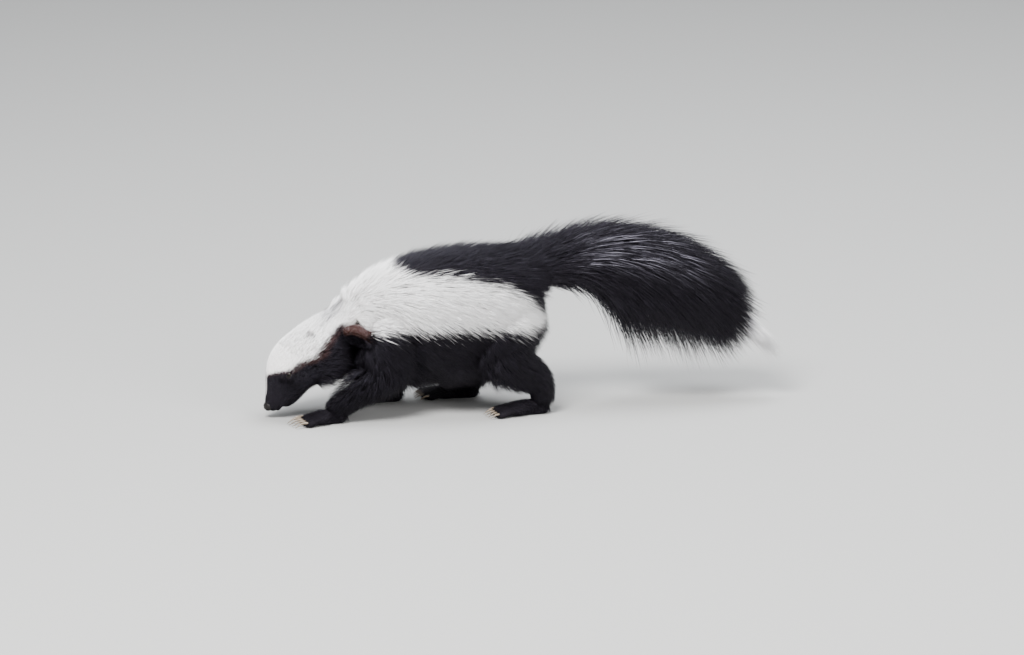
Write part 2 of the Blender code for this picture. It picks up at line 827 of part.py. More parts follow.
torso = body_shape()
whole = tree_of(torso)
nodes = {"torso": torso}
for key in LEGS:
    nodes[key + "_paw"] = cut_off(torso, key + "_paw", paw_region(key))
legs = {key: cut_off(torso, key + "_leg", leg_region(key)) for key in LEGS}
nodes.update({key + "_leg": leg for key, leg in legs.items()})
for name, region in (("tail", tail_region), ("head", head_region), ("neck", neck_region)):
    nodes[name] = cut_off(torso, name, region)
nodes.update(finish_head(nodes["head"]))

hosts = (nodes["head"], nodes["neck"], legs["front_left"], legs["front_right"])
for word, sign in (("left", 1), ("right", -1)):
    nodes["ear_" + word] = ear(word, sign, hosts)

for key in LEGS:
    size = FRONT_CLAW if key.startswith("front") else HIND_CLAW
    for k, (root, tip) in enumerate(toe_lines(key)):
        name = f"{key}_claw_{k + 1}"
        nodes[name] = claw(name, root, tip, size)
        carve(nodes[key + "_paw"], claw("claw bed", root, tip, size, GAP))

around = [nodes[name] for name in ("head", "ear_left", "ear_right")] + list(legs.values())
join(nodes["tail"], tail_locks([torso] + list(legs.values())))
join(nodes["neck"], coat_locks(nodes["neck"], NECK_LOCKS, NECK_ROWS, around + [torso]))
near_torso = around + [nodes["neck"], nodes["tail"]]
join(torso, coat_locks(torso, TORSO_LOCKS, TORSO_ROWS, near_torso))

for name, made in nodes.items():
    made.name = name
    made.data.name = name
    made.data.materials.clear()
    made.data.materials.append(slot_of(name))
    made.hide_render = False
    made.display_type = "TEXTURED"
    tools.objects.unlink(made)
    parts.objects.link(made)
for item in list(tools.objects):
    discard(item)
bpy.data.collections.remove(tools)
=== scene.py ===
# %% [markdown]
# Striped skunk, a life-size still model.
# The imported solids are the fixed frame: they give the outline, the stance and the places of eyes, nose
# and claws. This script dresses them. A museum's model has a cast body under a real pelt, and this one
# is made the same way: one fine skin under the whole coat, and a coat of thin closed tufts of real mesh.
# Particle hair would be quicker to comb, but an export drops it, so every tuft here is a mesh.

# %% Load the frame
import math

import bmesh
import bpy
import numpy as np
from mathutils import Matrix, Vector
from mathutils.bvhtree import BVHTree
from mathutils.kdtree import KDTree


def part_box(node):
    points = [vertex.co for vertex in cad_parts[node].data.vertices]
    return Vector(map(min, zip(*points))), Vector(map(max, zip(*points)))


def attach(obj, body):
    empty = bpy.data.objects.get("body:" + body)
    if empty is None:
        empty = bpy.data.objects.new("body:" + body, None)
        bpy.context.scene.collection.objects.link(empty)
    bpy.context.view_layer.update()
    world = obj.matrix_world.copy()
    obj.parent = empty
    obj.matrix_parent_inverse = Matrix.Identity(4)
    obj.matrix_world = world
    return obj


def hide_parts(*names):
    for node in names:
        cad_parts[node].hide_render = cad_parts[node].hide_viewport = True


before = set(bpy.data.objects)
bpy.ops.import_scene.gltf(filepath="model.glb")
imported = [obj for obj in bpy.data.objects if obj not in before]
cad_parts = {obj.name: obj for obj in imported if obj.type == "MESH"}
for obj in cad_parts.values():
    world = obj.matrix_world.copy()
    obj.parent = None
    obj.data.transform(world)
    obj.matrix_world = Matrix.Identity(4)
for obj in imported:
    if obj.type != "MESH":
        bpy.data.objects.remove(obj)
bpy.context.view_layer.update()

# %% [markdown]
# All tables are in millimetres, in the frame's own axes: +X to the nose, +Y to the animal's left, +Z up.
# The flesh of a skunk is slim. What looks plump is hair standing 10 to 18 mm off the skin, so every
# section here is drawn in from the solids by the depth of the coat at that place. A few rows of
# sizes with a smooth curve through them are easier to correct than a long list of points.

# %% Measures of the flesh
MM = 0.001
SEED = 7

# A trunk row is x, z, pitch, rise, drop and half width of one section.
TRUNK = [
    (-16, 94, 0, 5, 7, 5),
    (-11, 92, 0, 19, 23, 15),
    (-2, 90, 0, 31.5, 37, 26),
    (12, 90, 0, 39.5, 45, 34),
    (32, 90, 0, 43.5, 49, 39),
    (62, 88, 0, 45, 50, 40),
    (90, 86, 2, 43, 48, 38),
    (116, 83, 8, 38, 44, 34),
    (138, 82, 26, 26, 36, 32),
]
# A head row is the distance from the nose, then rise, drop and half width.
HEAD = [
    (112, 4, 20, 27),
    (100, 7.5, 20, 27),
    (86, 14, 22, 27.5),
    (70, 21.5, 21.5, 28.5),
    (52, 27.6, 18, 26.5),
    (38, 27.4, 15, 21.5),
    (24, 20.8, 11.5, 13.4),
    (12, 11.7, 8.8, 9.2),
    (5, 7.0, 6.5, 7.0),
    (1, 3.8, 3.8, 4.2),
]
NOSE_PIVOT = (159.0, 0.0, 89.0)
NOSE_REACH = (67.0, 81.0)
HEAD_PITCH = 50.4
HEAD_YAW = 6.0

LEGS = {
    "front_left": [(126, 28, 76, 16), (124, 35, 48, 13.5), (152, 36, 25, 9.6), (168, 36, 14, 8.4)],
    "front_right": [(122, -28, 76, 16), (106, -36, 48, 13.5), (101, -35.5, 26, 9.6), (104, -35, 14, 8.4)],
    "hind_left": [(16, 20.5, 82, 20), (16, 33, 54, 19.5), (-12, 38, 32, 12), (-19, 38.5, 16, 9)],
    "hind_right": [(34, -22.5, 82, 21.5), (50, -32, 54, 19.5), (33, -36, 30, 12), (29, -36.5, 16, 9)],
}
# A foot is x, y, length, splay and half width.
FEET = {
    "front_left": (167, 35.5, 26, 8, 10.0),
    "front_right": (103, -34, 26, -6, 10.0),
    "hind_left": (-17, 38, 36, 6, 10.0),
    "hind_right": (32, -36, 36, -5, 10.0),
}
TOE_SPREAD = 5.6
TOE_RADIUS = 3.4
# A tail row is x, z and radius of the bony core.
TAIL = [
    (14, 108, 11),
    (-10, 119, 10),
    (-40, 131, 9),
    (-70, 139, 8),
    (-100, 140, 7),
    (-130, 134, 6),
    (-152, 124, 5),
    (-163, 117, 3.5),
]
# An ear's place is the distance behind the nose, out to the side and over the head's axis.
EAR_AT = (101.0, 32.5, -10.5)
EAR_SIZE = (12.4, 10.8, 6.4)
EAR_HOLLOW = (8.8, 7.4, 3.8)
print("sections of trunk and head:", len(TRUNK), len(HEAD), "limbs:", len(LEGS), "tail rows:", len(TAIL))

# %% [markdown]
# The skin is drawn the way a sculptor packs clay: an oval loft for trunk and head, bevelled curves for
# the limbs, eggs for cheeks, brows and pads. A voxel remesh then melts all of it into one surface
# without a seam at neck, shoulder or tail root. It could be sculpted by hand, but named sizes can be
# changed and built again. First come small helpers for directions, objects and smooth rows.

# %% Directions, objects and smooth rows


def unit(way):
    """Directions of one vector or of a whole array of them."""
    way = np.asarray(way, float)
    return way / np.maximum(np.linalg.norm(way, axis=-1, keepdims=True), 1e-9)


def link(name, mesh):
    """A new object in the scene."""
    made = bpy.data.objects.new(name, mesh)
    bpy.context.scene.collection.objects.link(made)
    return made


def closed(name, shape):
    """An object from a closed bmesh, with its faces turned outward."""
    bmesh.ops.recalc_face_normals(shape, faces=shape.faces)
    if shape.calc_volume(signed=True) < 0:
        bmesh.ops.reverse_faces(shape, faces=shape.faces)
    mesh = bpy.data.meshes.new(name)
    shape.to_mesh(mesh)
    shape.free()
    return link(name, mesh)


def smooth_rows(rows, count):
    """Rows between the given ones, on a smooth curve through them."""
    rows = np.array(rows, float)
    last = len(rows) - 1
    made = []
    for t in np.linspace(0, last, count):
        i = min(int(t), last - 1)
        f = t - i
        p0, p1, p2, p3 = (rows[min(max(k, 0), last)] for k in (i - 1, i, i + 1, i + 2))
        bend = (p2 - p0) * f + (2 * p0 - 5 * p1 + 4 * p2 - p3) * f**2
        made.append(p1 + 0.5 * (bend + (3 * p1 - p0 - 3 * p2 + p3) * f**3))
    return np.array(made)


# %% [markdown]
# A skunk that sniffs the ground bends its head down and a little to one side. The head therefore gets
# axes of its own: back from the nose, to the animal's left, and over the skull. Every form of the face
# is then placed by its distance behind the nose, as a carver measures it on the skull.

# %% The head's own axes


def frame_at(pitch, yaw):
    """Side and up directions of a section that faces down by the pitch and left by the yaw."""
    tilt = math.radians(pitch)
    turn = math.radians(yaw)
    side = np.array([-math.sin(turn), math.cos(turn), 0.0])
    up = np.array([math.sin(tilt) * math.cos(turn), math.sin(tilt) * math.sin(turn), math.cos(tilt)])
    return side, up


HEAD_SIDE, HEAD_UP = frame_at(HEAD_PITCH, HEAD_YAW)
HEAD_BACK = np.cross(HEAD_UP, HEAD_SIDE)
HEAD_AXES = (HEAD_BACK, HEAD_SIDE, HEAD_UP)
NOSE_TURN = math.radians(HEAD_YAW)
NOSE_OFF = (NOSE_REACH[0] * math.cos(NOSE_TURN), NOSE_REACH[0] * math.sin(NOSE_TURN), -NOSE_REACH[1])
NOSE = np.array(NOSE_PIVOT) + NOSE_OFF
print("nose tip:", NOSE.round(1), "way back from it:", HEAD_BACK.round(2))


def head_point(along, left, over):
    """Place on the head from the distance behind the nose, to the left and over the axis."""
    return NOSE + HEAD_BACK * along + HEAD_SIDE * left + HEAD_UP * over


# %% [markdown]
# The trunk is deep over the spine and flatter under the belly, so one section has a rise, a drop and a
# half width of its own. A loft joins the sections ring by ring and closes both ends, which a chain of
# joined balls would do with dents between them.

# %% Oval sections and the loft


def oval(row, sides):
    """Points round one section: x, y, z, pitch, yaw, rise, drop, half width."""
    x, y, z, pitch, turn, rise, drop, half = row
    side, up = frame_at(pitch, turn)
    angles = np.linspace(0, 2 * math.pi, sides, endpoint=False)[:, None]
    reach = np.where(np.cos(angles) > 0, rise, drop)
    return np.array([x, y, z]) + side * np.sin(angles) * half + up * np.cos(angles) * reach


def trunk_rows():
    """Sections from the rump to the nose."""
    rows = [(x, 0.0, z, pitch, 0.0, rise, drop, half) for x, z, pitch, rise, drop, half in TRUNK]
    for along, rise, drop, half in HEAD:
        rows.append((*head_point(along, 0, 0), HEAD_PITCH, HEAD_YAW, rise, drop, half))
    return rows


def loft(name, rows, sides=48, count=110):
    """Skin over oval sections of different shape and direction."""
    shape = bmesh.new()
    rings = []
    for row in smooth_rows(rows, count):
        rings.append([shape.verts.new(Vector(p) * MM) for p in oval(row, sides)])
    for ring, following in zip(rings, rings[1:]):
        for i in range(sides):
            j = (i + 1) % sides
            shape.faces.new((ring[i], ring[j], following[j], following[i]))
    shape.faces.new(rings[0][::-1])
    shape.faces.new(rings[-1])
    return closed(name, shape)


# %% [markdown]
# Limbs, toes, lids, lips and claws are all tubes of changing thickness. A curve with a bevel and a
# radius for each point makes such a tube in one step, and is then turned into a mesh. Swollen forms,
# such as cheeks and pads, are eggs made from an icosphere, since its faces are all about equal.

# %% Tubes and eggs
WELD = 0.000005


def tube(name, rows, ring=False, sides=12, steps=6):
    """A bevelled curve through rows of x, y, z and radius, made a mesh."""
    rows = np.array(rows, float) if ring else smooth_rows(rows, (len(rows) - 1) * steps + 1)
    curve = bpy.data.curves.new(name, "CURVE")
    curve.dimensions = "3D"
    curve.bevel_depth = MM
    curve.bevel_resolution = sides // 2 - 2
    curve.use_fill_caps = not ring
    spline = curve.splines.new("POLY")
    spline.points.add(len(rows) - 1)
    spline.use_cyclic_u = ring
    for point, row in zip(spline.points, rows):
        point.co = (*(row[:3] * MM), 1.0)
        point.radius = row[3]
    wire = link(name, curve)
    graph = bpy.context.evaluated_depsgraph_get()
    shape = bmesh.new()
    shape.from_mesh(bpy.data.meshes.new_from_object(wire.evaluated_get(graph)))
    bpy.data.objects.remove(wire, do_unlink=True)
    bmesh.ops.remove_doubles(shape, verts=shape.verts, dist=WELD)
    return closed(name, shape)


def ball(name, centre, radii, axes=None, detail=4):
    """An egg shape; the axes are its three directions."""
    shape = bmesh.new()
    bmesh.ops.create_icosphere(shape, subdivisions=detail, radius=1.0)
    turned = np.eye(3) if axes is None else np.array(axes)
    radii = np.broadcast_to(np.array(radii, float), (3,))
    for vert in shape.verts:
        vert.co = Vector(np.array(centre) + turned.T @ (np.array(vert.co) * radii)) * MM
    return closed(name, shape)


def limb(name, rows):
    """A tube with a ball at each end, its pieces left loose."""
    ends = [ball(name, row[:3], row[3], detail=3) for row in (rows[0], rows[-1])]
    return [tube(name, rows, sides=16)] + ends


# %% [markdown]
# Pieces are put in one mesh, changed by modifiers, and cut or joined by Booleans. A modifier stays live
# until it is applied, so settle reads the result and keeps it as the object's plain mesh.

# %% Join, settle and cut


def merged(name, pieces):
    """Several pieces in one mesh, not yet joined."""
    shape = bmesh.new()
    for piece in pieces:
        shape.from_mesh(piece.data)
        bpy.data.objects.remove(piece, do_unlink=True)
    mesh = bpy.data.meshes.new(name)
    shape.to_mesh(mesh)
    shape.free()
    return link(name, mesh)


def settle(made):
    """Applies the modifiers of an object."""
    graph = bpy.context.evaluated_depsgraph_get()
    mesh = bpy.data.meshes.new_from_object(made.evaluated_get(graph))
    made.modifiers.clear()
    made.data = mesh


def boolean(made, tool, how):
    """One Boolean with a closed tool that is used up."""
    step = made.modifiers.new("boolean", "BOOLEAN")
    step.operation = how
    step.solver = "MANIFOLD"
    step.object = tool
    settle(made)
    bpy.data.objects.remove(tool, do_unlink=True)


# %% [markdown]
# A skunk walks on its whole sole, with five toes on each foot, nearly equal and hardly parted. One
# function lays out the toes, and both the skin and the claws use it, so that each claw leaves its toe.

# %% Feet
TOE_SHORTER = (0.0, 1.0, 2.2, 1.2, 4.0)


def foot_axes(key):
    """Heel, forward and left of one foot."""
    x, y, _, splay, _ = FEET[key]
    turn = math.radians(splay)
    ahead = np.array([math.cos(turn), math.sin(turn), 0.0])
    return np.array([x, y, 0.0]), ahead, np.array([-math.sin(turn), math.cos(turn), 0.0])


def toe_lines(key):
    """Root and tip of each of the five toes, the inner one shortest."""
    heel, ahead, left = foot_axes(key)
    length = FEET[key][2]
    lines = []
    for k in range(5):
        off = (k - 2) * TOE_SPREAD * 0.92
        short = TOE_SHORTER[k if key.endswith("right") else 4 - k]
        root = heel + ahead * length * 0.55 + left * off * 0.75 + (0, 0, 6)
        tip = heel + ahead * (length + 7.0 - short - 0.25 * abs(off)) + left * off * 1.15 + (0, 0, 3.6)
        lines.append((root, tip))
    return lines


def foot_pieces(key):
    """Sole, pads and toes of one foot."""
    heel, ahead, left = foot_axes(key)
    length, half = FEET[key][2], FEET[key][4]
    ball_of_foot = heel + ahead * length * 0.6 + (0, 0, 5)
    pieces = limb("sole", [(*(heel + (0, 0, 6.5)), 8.0), (*ball_of_foot, 7.5)])
    axes = (ahead, left, (0, 0, 1))
    pieces.append(ball("pad", heel + ahead * length * 0.62 + (0, 0, 5), (9.5, half + 0.4, 6.2), axes))
    for root, tip in toe_lines(key):
        middle = (root + tip) * 0.5 + (0, 0, 0.8)
        rows = [(*root, TOE_RADIUS + 0.5), (*middle, TOE_RADIUS - 0.2), (*tip, TOE_RADIUS)]
        pieces += limb("toe", rows)
    return pieces


# %% [markdown]
# The ear is a low round shell whose cup opens forward and out. An egg with a smaller egg cut from it
# gives the rim its thickness, where a bent sheet would stay too thin for the melt that follows.

# %% Ears


def ear_axes(sign):
    """Directions of one ear: along its base, out, and the way its cup faces."""
    out = unit(HEAD_SIDE * sign * 0.68 + HEAD_UP * 0.32 + HEAD_BACK * 0.34)
    face = -HEAD_BACK * 0.72 + HEAD_SIDE * sign * 0.5 - HEAD_UP * 0.16
    face = unit(face - out * face.dot(out))
    return np.cross(out, face), out, face


def ear_centre(sign):
    """Middle of one ear."""
    along, left, over = EAR_AT
    return head_point(along, sign * left, over)


def ear_shell(sign):
    """One ear with its cup."""
    centre = ear_centre(sign)
    axes = ear_axes(sign)
    made = ball("ear", centre, EAR_SIZE, axes)
    cup_at = centre + axes[2] * 5.0 + axes[1] * 0.8
    boolean(made, ball("cup", cup_at, EAR_HOLLOW, axes), "DIFFERENCE")
    return made


# %% [markdown]
# The eyes sit where the frame's eye nodes are. The socket is a low mound round each, with two lids
# that wrap the ball and leave an almond opening. The lids are one closed ring that is drawn on the
# ball itself, so they touch it all the way round.

# %% Eyes and lids as sizes


def middle_of(node):
    """Middle of a frame node, in millimetres."""
    low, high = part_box(node)
    return (np.array(low) + np.array(high)) * 0.5 / MM


EYES = {word: middle_of("eye_" + word) for word in ("left", "right")}
EYE_RADIUS = 4.3
EYE_TURN = 62
LID_OPEN = (4.0, 2.9)
print("eyes at:", {word: place.round(1).tolist() for word, place in EYES.items()})


def eye_frame(word):
    """Directions of one eye: out of the head, back along the lid line, and up across it."""
    sign = 1 if word == "left" else -1
    turn = math.radians(EYE_TURN * sign)
    out = unit(HEAD_SIDE * math.sin(turn) + HEAD_UP * math.cos(turn) - HEAD_BACK * 0.28)
    long_way = unit(HEAD_BACK - out * HEAD_BACK.dot(out))
    return out, long_way, np.cross(out, long_way) * sign


def lid_rows(word, wide, high, over, thick):
    """A closed almond ring round one eye."""
    out, long_way, tall_way = eye_frame(word)
    rows = []
    for turn in np.linspace(0, 2 * math.pi, 28, endpoint=False):
        across = math.sin(turn) * high * (1 - 0.25 * abs(math.cos(turn)) ** 3)
        place = EYES[word] + long_way * math.cos(turn) * wide + tall_way * across
        reach = math.sqrt(max(EYE_RADIUS**2 - wide**2 * math.cos(turn) ** 2 - across**2, 0.2))
        rows.append((*(place + out * (reach + over)), thick))
    return rows


# %% [markdown]
# Now the clay is packed. Under the fur a skunk has a wedge of a head with full cheeks, a deep chest and
# a belly that hangs a little. Loose pieces overlap here and are melted by a voxel remesh. A union of
# every piece would leave sharp creases, while the melt and a short relaxing round them like flesh.

# %% Pack the face


def face_pieces():
    """Throat, jaw, cheeks, muzzle, brows and eye mounds."""
    pieces = [ball("throat", head_point(96, 0, -14), (19, 17, 12), HEAD_AXES)]
    pieces.append(ball("jaw", head_point(30, 0, -10), (19, 9.2, 6.4), HEAD_AXES))
    for sign in (-1, 1):
        pieces.append(ball("cheek", head_point(62, sign * 15, -10), (18, 12.5, 12.5), HEAD_AXES))
        pieces.append(ball("muzzle", head_point(17, sign * 4.5, -2), (10.6, 6.0, 7.6), HEAD_AXES))
        pieces.append(ball("brow", head_point(37, sign * 12.5, 11.5), (10.5, 6.2, 6.6), HEAD_AXES))
        pieces.append(ear_shell(sign))
    for word in EYES:
        out, long_way, tall_way = eye_frame(word)
        pieces.append(ball("mound", EYES[word] - out * 2.3, (5.6, 7.6, 6.4), (out, long_way, tall_way)))
    return pieces


# %% [markdown]
# Trunk, limbs and the tail's core join the face here, and everything is melted at once. The grain of
# the melt is a little over a millimetre. That is fine enough for toes and cheeks, and it leaves one
# mesh of even faces for the coat to stand on.

# %% Pack the body and melt it into one surface
SKIN_VOXEL = 1.25
RELAX_SHARE = 0.5
RELAX_ROUNDS = 4


def body_pieces():
    """Trunk, face, limbs and tail."""
    pieces = [loft("trunk", trunk_rows())]
    pieces.append(ball("chest", (122, 0, 62), (27, 27, 24)))
    pieces.append(ball("belly", (60, 0, 62), (56, 35, 27)))
    for key, rows in LEGS.items():
        pieces += limb("leg", rows) + foot_pieces(key)
    return pieces + face_pieces() + limb("tail", [(x, 0.0, z, radius) for x, z, radius in TAIL])


skin = merged("skin", body_pieces())
step = skin.modifiers.new("melt", "REMESH")
step.mode = "VOXEL"
step.voxel_size = SKIN_VOXEL * MM
step = skin.modifiers.new("relax", "SMOOTH")
step.factor = RELAX_SHARE
step.iterations = RELAX_ROUNDS
settle(skin)
print("skin faces after the melt:", len(skin.data.polygons))

# %% [markdown]
# Fine forms come after the melt, since a voxel would swallow them: the rolled lids, the lips with the
# line of the mouth between them, the sockets, and the bed of the nose. The mouth's line is found by
# rays from the middle of the jaw, so the lips lie on the skin whatever the cheeks are like.

# %% Lids, lips and sockets
# A mouth row is the distance behind the nose and the turn from the top of the head, in degrees.
MOUTH = [(5.5, 178), (6.5, 150), (9, 124), (15, 113), (22, 110), (30, 110), (37, 112)]
LIP_RADIUS = 1.25
MOUTH_LINE_RADIUS = 0.5
LID_RADIUS = 0.95
LID_OVER_BALL = 0.15
SOCKET_GAP = 0.12
NOSE_PAD = (5.0, 5.6, 4.6)
NOSE_BED_DRAWN_IN = 0.2


def tree_of(made):
    """Search tree of a mesh's surface."""
    corners = [vert.co.copy() for vert in made.data.vertices]
    return BVHTree.FromPolygons(corners, [tuple(face.vertices) for face in made.data.polygons])


def mouth_rows(tree, radius):
    """The line of the lips from one corner of the mouth to the other."""
    sides = []
    for sign in (-1, 1):
        rows = []
        for along, turn in MOUTH:
            angle = math.radians(sign * turn)
            way = HEAD_SIDE * math.sin(angle) + HEAD_UP * math.cos(angle)
            place = tree.ray_cast(Vector(head_point(along, 0, 0)) * MM, Vector(way))[0]
            rows.append((*(np.array(place) / MM), radius))
        sides.append(rows)
    return sides[0][::-1] + sides[1][1:]


tree = tree_of(skin)
boolean(skin, tube("lips", mouth_rows(tree, LIP_RADIUS)), "UNION")
boolean(skin, tube("mouth line", mouth_rows(tree, MOUTH_LINE_RADIUS), sides=8), "DIFFERENCE")
for word in EYES:
    lid = lid_rows(word, *LID_OPEN, LID_OVER_BALL, LID_RADIUS)
    boolean(skin, tube("lids", lid, ring=True), "UNION")
    boolean(skin, ball("socket", EYES[word], EYE_RADIUS + SOCKET_GAP), "DIFFERENCE")
nose_at = middle_of("nose")
nose_bed = ball("nose bed", nose_at, np.array(NOSE_PAD) - NOSE_BED_DRAWN_IN, HEAD_AXES)
boolean(skin, nose_bed, "DIFFERENCE")
print("skin faces with lids and lips:", len(skin.data.polygons))

# %% [markdown]
# A standing animal's pads are pressed flat by its weight. Every point of the skin that would be under
# the floor comes up to it, which leaves the rest of the foot as it was.

# %% Press the soles flat
SOLE_PRESS = 0.00035


def flatten_soles(made):
    """Brings everything below the floor up to it, and tells how many points that were."""
    count = len(made.data.vertices)
    places = np.empty(count * 3)
    made.data.vertices.foreach_get("co", places)
    places = places.reshape(-1, 3)
    places[:, 2] = np.maximum(places[:, 2] - SOLE_PRESS, 0.0)
    made.data.vertices.foreach_set("co", places.ravel())
    made.data.update()
    return int((places[:, 2] == 0.0).sum())


print("points of the soles on the floor:", flatten_soles(skin))

# %% [markdown]
# The lie of the coat is set by guides, as a groomer would comb it: back along head and body, a little
# down on the flanks, down the limbs, forward over the toes. Each guide also carries how long the hair
# is and how far it stands off the skin there. Hair could be combed by hand stroke by stroke, but a
# guide is a rule that also holds after the body under it has been changed.

# %% Guides over the trunk
REGIONS = ("trunk", "head", "leg", "paw", "tail", "ear")
TRUNK_SKIN, HEAD_SKIN, LEG_SKIN, PAW_SKIN, TAIL_SKIN, EAR_SKIN = range(len(REGIONS))
EAR_NEAR = (15, 36)
EAR_NEAR_LONG = (0.36, 1.0)
EAR_NEAR_LIFT = (0.5, 1.0)
# Length of the trunk's hair along it, and lift from the top of the back to the belly.
TRUNK_HAIR_AT = (-16, 24, 100, 125, 140)
TRUNK_HAIR = (19, 36, 34, 29, 23)
TRUNK_LIFT_AT = (0, 0.5, 0.75, 1)
TRUNK_LIFT = (29, 27, 27, 25)
# Extra length and lift: the hump over the hips, and the stripe's loose end beside the rump.
HUMP = (11.0, 8.0)
LOOSE_END = (9.0, 4.0)
HIP_FLATTER = 6.0
THROAT_LIFT = 9.0


def cleared(place, long, lift):
    """Hair length and lift, shorter and flatter close to an ear, so that the ear stands free."""
    near = min(np.linalg.norm(place - ear_centre(sign)) for sign in (-1, 1))
    shorter = np.interp(near, EAR_NEAR, EAR_NEAR_LONG)
    flatter = np.interp(near, EAR_NEAR, EAR_NEAR_LIFT)
    return long * shorter, lift * flatter


def trunk_flow(x, angle):
    """Way of the trunk's hair: back and a little down, and steeper down behind the thigh."""
    flank = abs(math.sin(angle))
    under = 0.5 - 0.5 * math.cos(angle)
    lower = np.interp(under, (0.1, 0.3, 0.6, 0.75), (0, 0.5, 0.5, 1))
    behind = np.interp(x, (-16, 14), (1.0, 0.0)) * lower
    flow = unit([-1.0 + 0.35 * behind, 0.0, -0.06 - 0.5 * flank - 0.35 * behind])
    return unit(flow - (0, 0, 0.5 * max(0.0, under - 0.5)))


def trunk_hair(x, angle):
    """Length and lift of the trunk's hair; the angle is the turn from the top of the back."""
    under = 0.5 - 0.5 * math.cos(angle)
    long = np.interp(x, TRUNK_HAIR_AT, TRUNK_HAIR)
    long *= 1 - 0.2 * max(0.0, under - 0.6) / 0.4 * np.interp(x, (90, 115), (1.0, -1.0))
    lift = np.interp(under, TRUNK_LIFT_AT, TRUNK_LIFT)
    hump = np.interp(x, (-8, 6, 20, 34), (0.0, 1.0, 1.0, 0.0)) * (under < 0.2)
    lift += HUMP[1] * hump + np.interp(x, (105, 130), (0.0, THROAT_LIFT)) * (under > 0.6)
    long += HUMP[0] * hump
    loose = np.interp(x, (-12, 8), (1.0, 0.0)) * np.interp(under, (0.3, 0.42, 0.66, 0.8), (0, 1, 1, 0))
    long += LOOSE_END[0] * loose
    lift += LOOSE_END[1] * loose
    by_hip = np.interp(under, (0.2, 0.35, 0.66, 0.8), (0, 1, 1, 0))
    lift -= HIP_FLATTER * np.interp(x, (4, 14, 30, 44), (0, 1, 1, 0)) * by_hip
    return long, lift


def trunk_guides():
    """Guides over the trunk: long on back and rump, shorter under the belly and at the shoulder."""
    made = []
    for row in smooth_rows(trunk_rows()[: len(TRUNK)], 40):
        for place, angle in zip(oval(row, 24), np.linspace(0, 2 * math.pi, 24, endpoint=False)):
            long, lift = cleared(place, *trunk_hair(row[0], angle))
            made.append((place, trunk_flow(row[0], angle), long, lift, TRUNK_SKIN))
    return made


# %% [markdown]
# The face of a skunk is close and short, so that the eye and the bare nose stay free. From the cheeks
# back the hair grows long and loose, and it hangs from the jaw. The same kind of rule as on the trunk
# says so here, with the distance behind the nose and the turn round the head as its two measures.

# %% Guides over the head
HEAD_HAIR_AT = (0, 8, 18, 30, 45, 60, 80, 100, 112)
HEAD_HAIR = (0.8, 1.4, 2.2, 3.4, 5.2, 8, 12, 17, 21)
HEAD_LIFT_AT = (0, 24, 45, 60, 112)
HEAD_LIFT = (15, 24, 26, 27, 29)
EAR_HEIGHT = 82
HANG = np.array([-0.1, 0.0, -1.1])


def head_guides():
    """Guides over the head: shortest at the nose, longer over the crown to the nape."""
    made = []
    rows = smooth_rows(trunk_rows()[len(TRUNK) :], 34)
    for row in rows:
        along = (row[:3] - NOSE) @ HEAD_BACK
        for place in oval(row, 24):
            long = np.interp(along, HEAD_HAIR_AT, HEAD_HAIR)
            lift = np.interp(along, HEAD_LIFT_AT, HEAD_LIFT)
            off = place - row[:3]
            turn = math.degrees(math.atan2(abs(off @ HEAD_SIDE), off @ HEAD_UP))
            low = np.interp(turn, (72, 115, 180), (0.0, 0.9, 1.0))
            low *= np.interp(along, (24, 48, 75), (0.0, 0.8, 1.0))
            beside_ear = np.interp(abs(turn - EAR_HEIGHT), (0, 30), (1.0, 0.0))
            beside_ear *= np.interp(along, (74, 84, 101, 107), (0, 1, 1, 0))
            long = long * (1 + 1.5 * low) * (1 - 0.55 * beside_ear)
            flow = unit(HEAD_BACK + HEAD_UP * 0.05 + HANG * low)
            long, lift = cleared(place, long, lift * (1 - 0.45 * beside_ear) + 13 * low)
            made.append((place, flow, long, lift, HEAD_SKIN))
    return made


# %% [markdown]
# Down the limbs the hair gets shorter, with a shaggy fringe behind each fore leg. On the feet it lies
# flat towards the claws, and on the ears it runs out to the rim. The top of a thigh takes the trunk's
# lie, so that no crease shows where the leg leaves the body.

# %% Guides over limbs, feet, ears and tail
LEG_HAIR_AT = (0, 5, 9, 15)
LEG_HAIR = (28, 22, 13, 6)
LEG_SWEEP = np.array([-0.25, 0.0, -0.2])
THIGH_SWEEP = np.array([-0.75, 0.0, -0.3])
TRUNK_STEPS = 3
FOOT_LIFT = 22
EAR_HAIR = (4.2, 14)
RUMP_END = -17


def leg_guides():
    """Guides down the limbs."""
    made = []
    for key, rows in LEGS.items():
        line = smooth_rows(rows, 16)
        ways = unit(np.gradient(line[:, :3], axis=0))
        for k, (row, way) in enumerate(zip(line, ways)):
            side = unit(np.cross(way, (0.3, 1.0, 0.1)))
            over = np.cross(way, side)
            long = np.interp(k, LEG_HAIR_AT, LEG_HAIR)
            region = LEG_SKIN if k > TRUNK_STEPS else TRUNK_SKIN
            for angle in np.linspace(0, 2 * math.pi, 12, endpoint=False):
                off = side * math.cos(angle) + over * math.sin(angle)
                shag = max(0.0, off[0] * 0.8 + off[2] * 0.6) * np.interp(k, (3, 6, 11, 14), (0, 1, 1, 0))
                shag *= key.startswith("front")
                upper = np.interp(k, (0, 8), (1.0, 0.0))
                flow = unit(way * (1 - 0.85 * upper) + LEG_SWEEP + THIGH_SWEEP * upper)
                lift = 20 + 14 * shag + 5 * upper
                made.append((row[:3] + row[3] * off, flow, long * (1 + 0.5 * shag), lift, region))
    return made


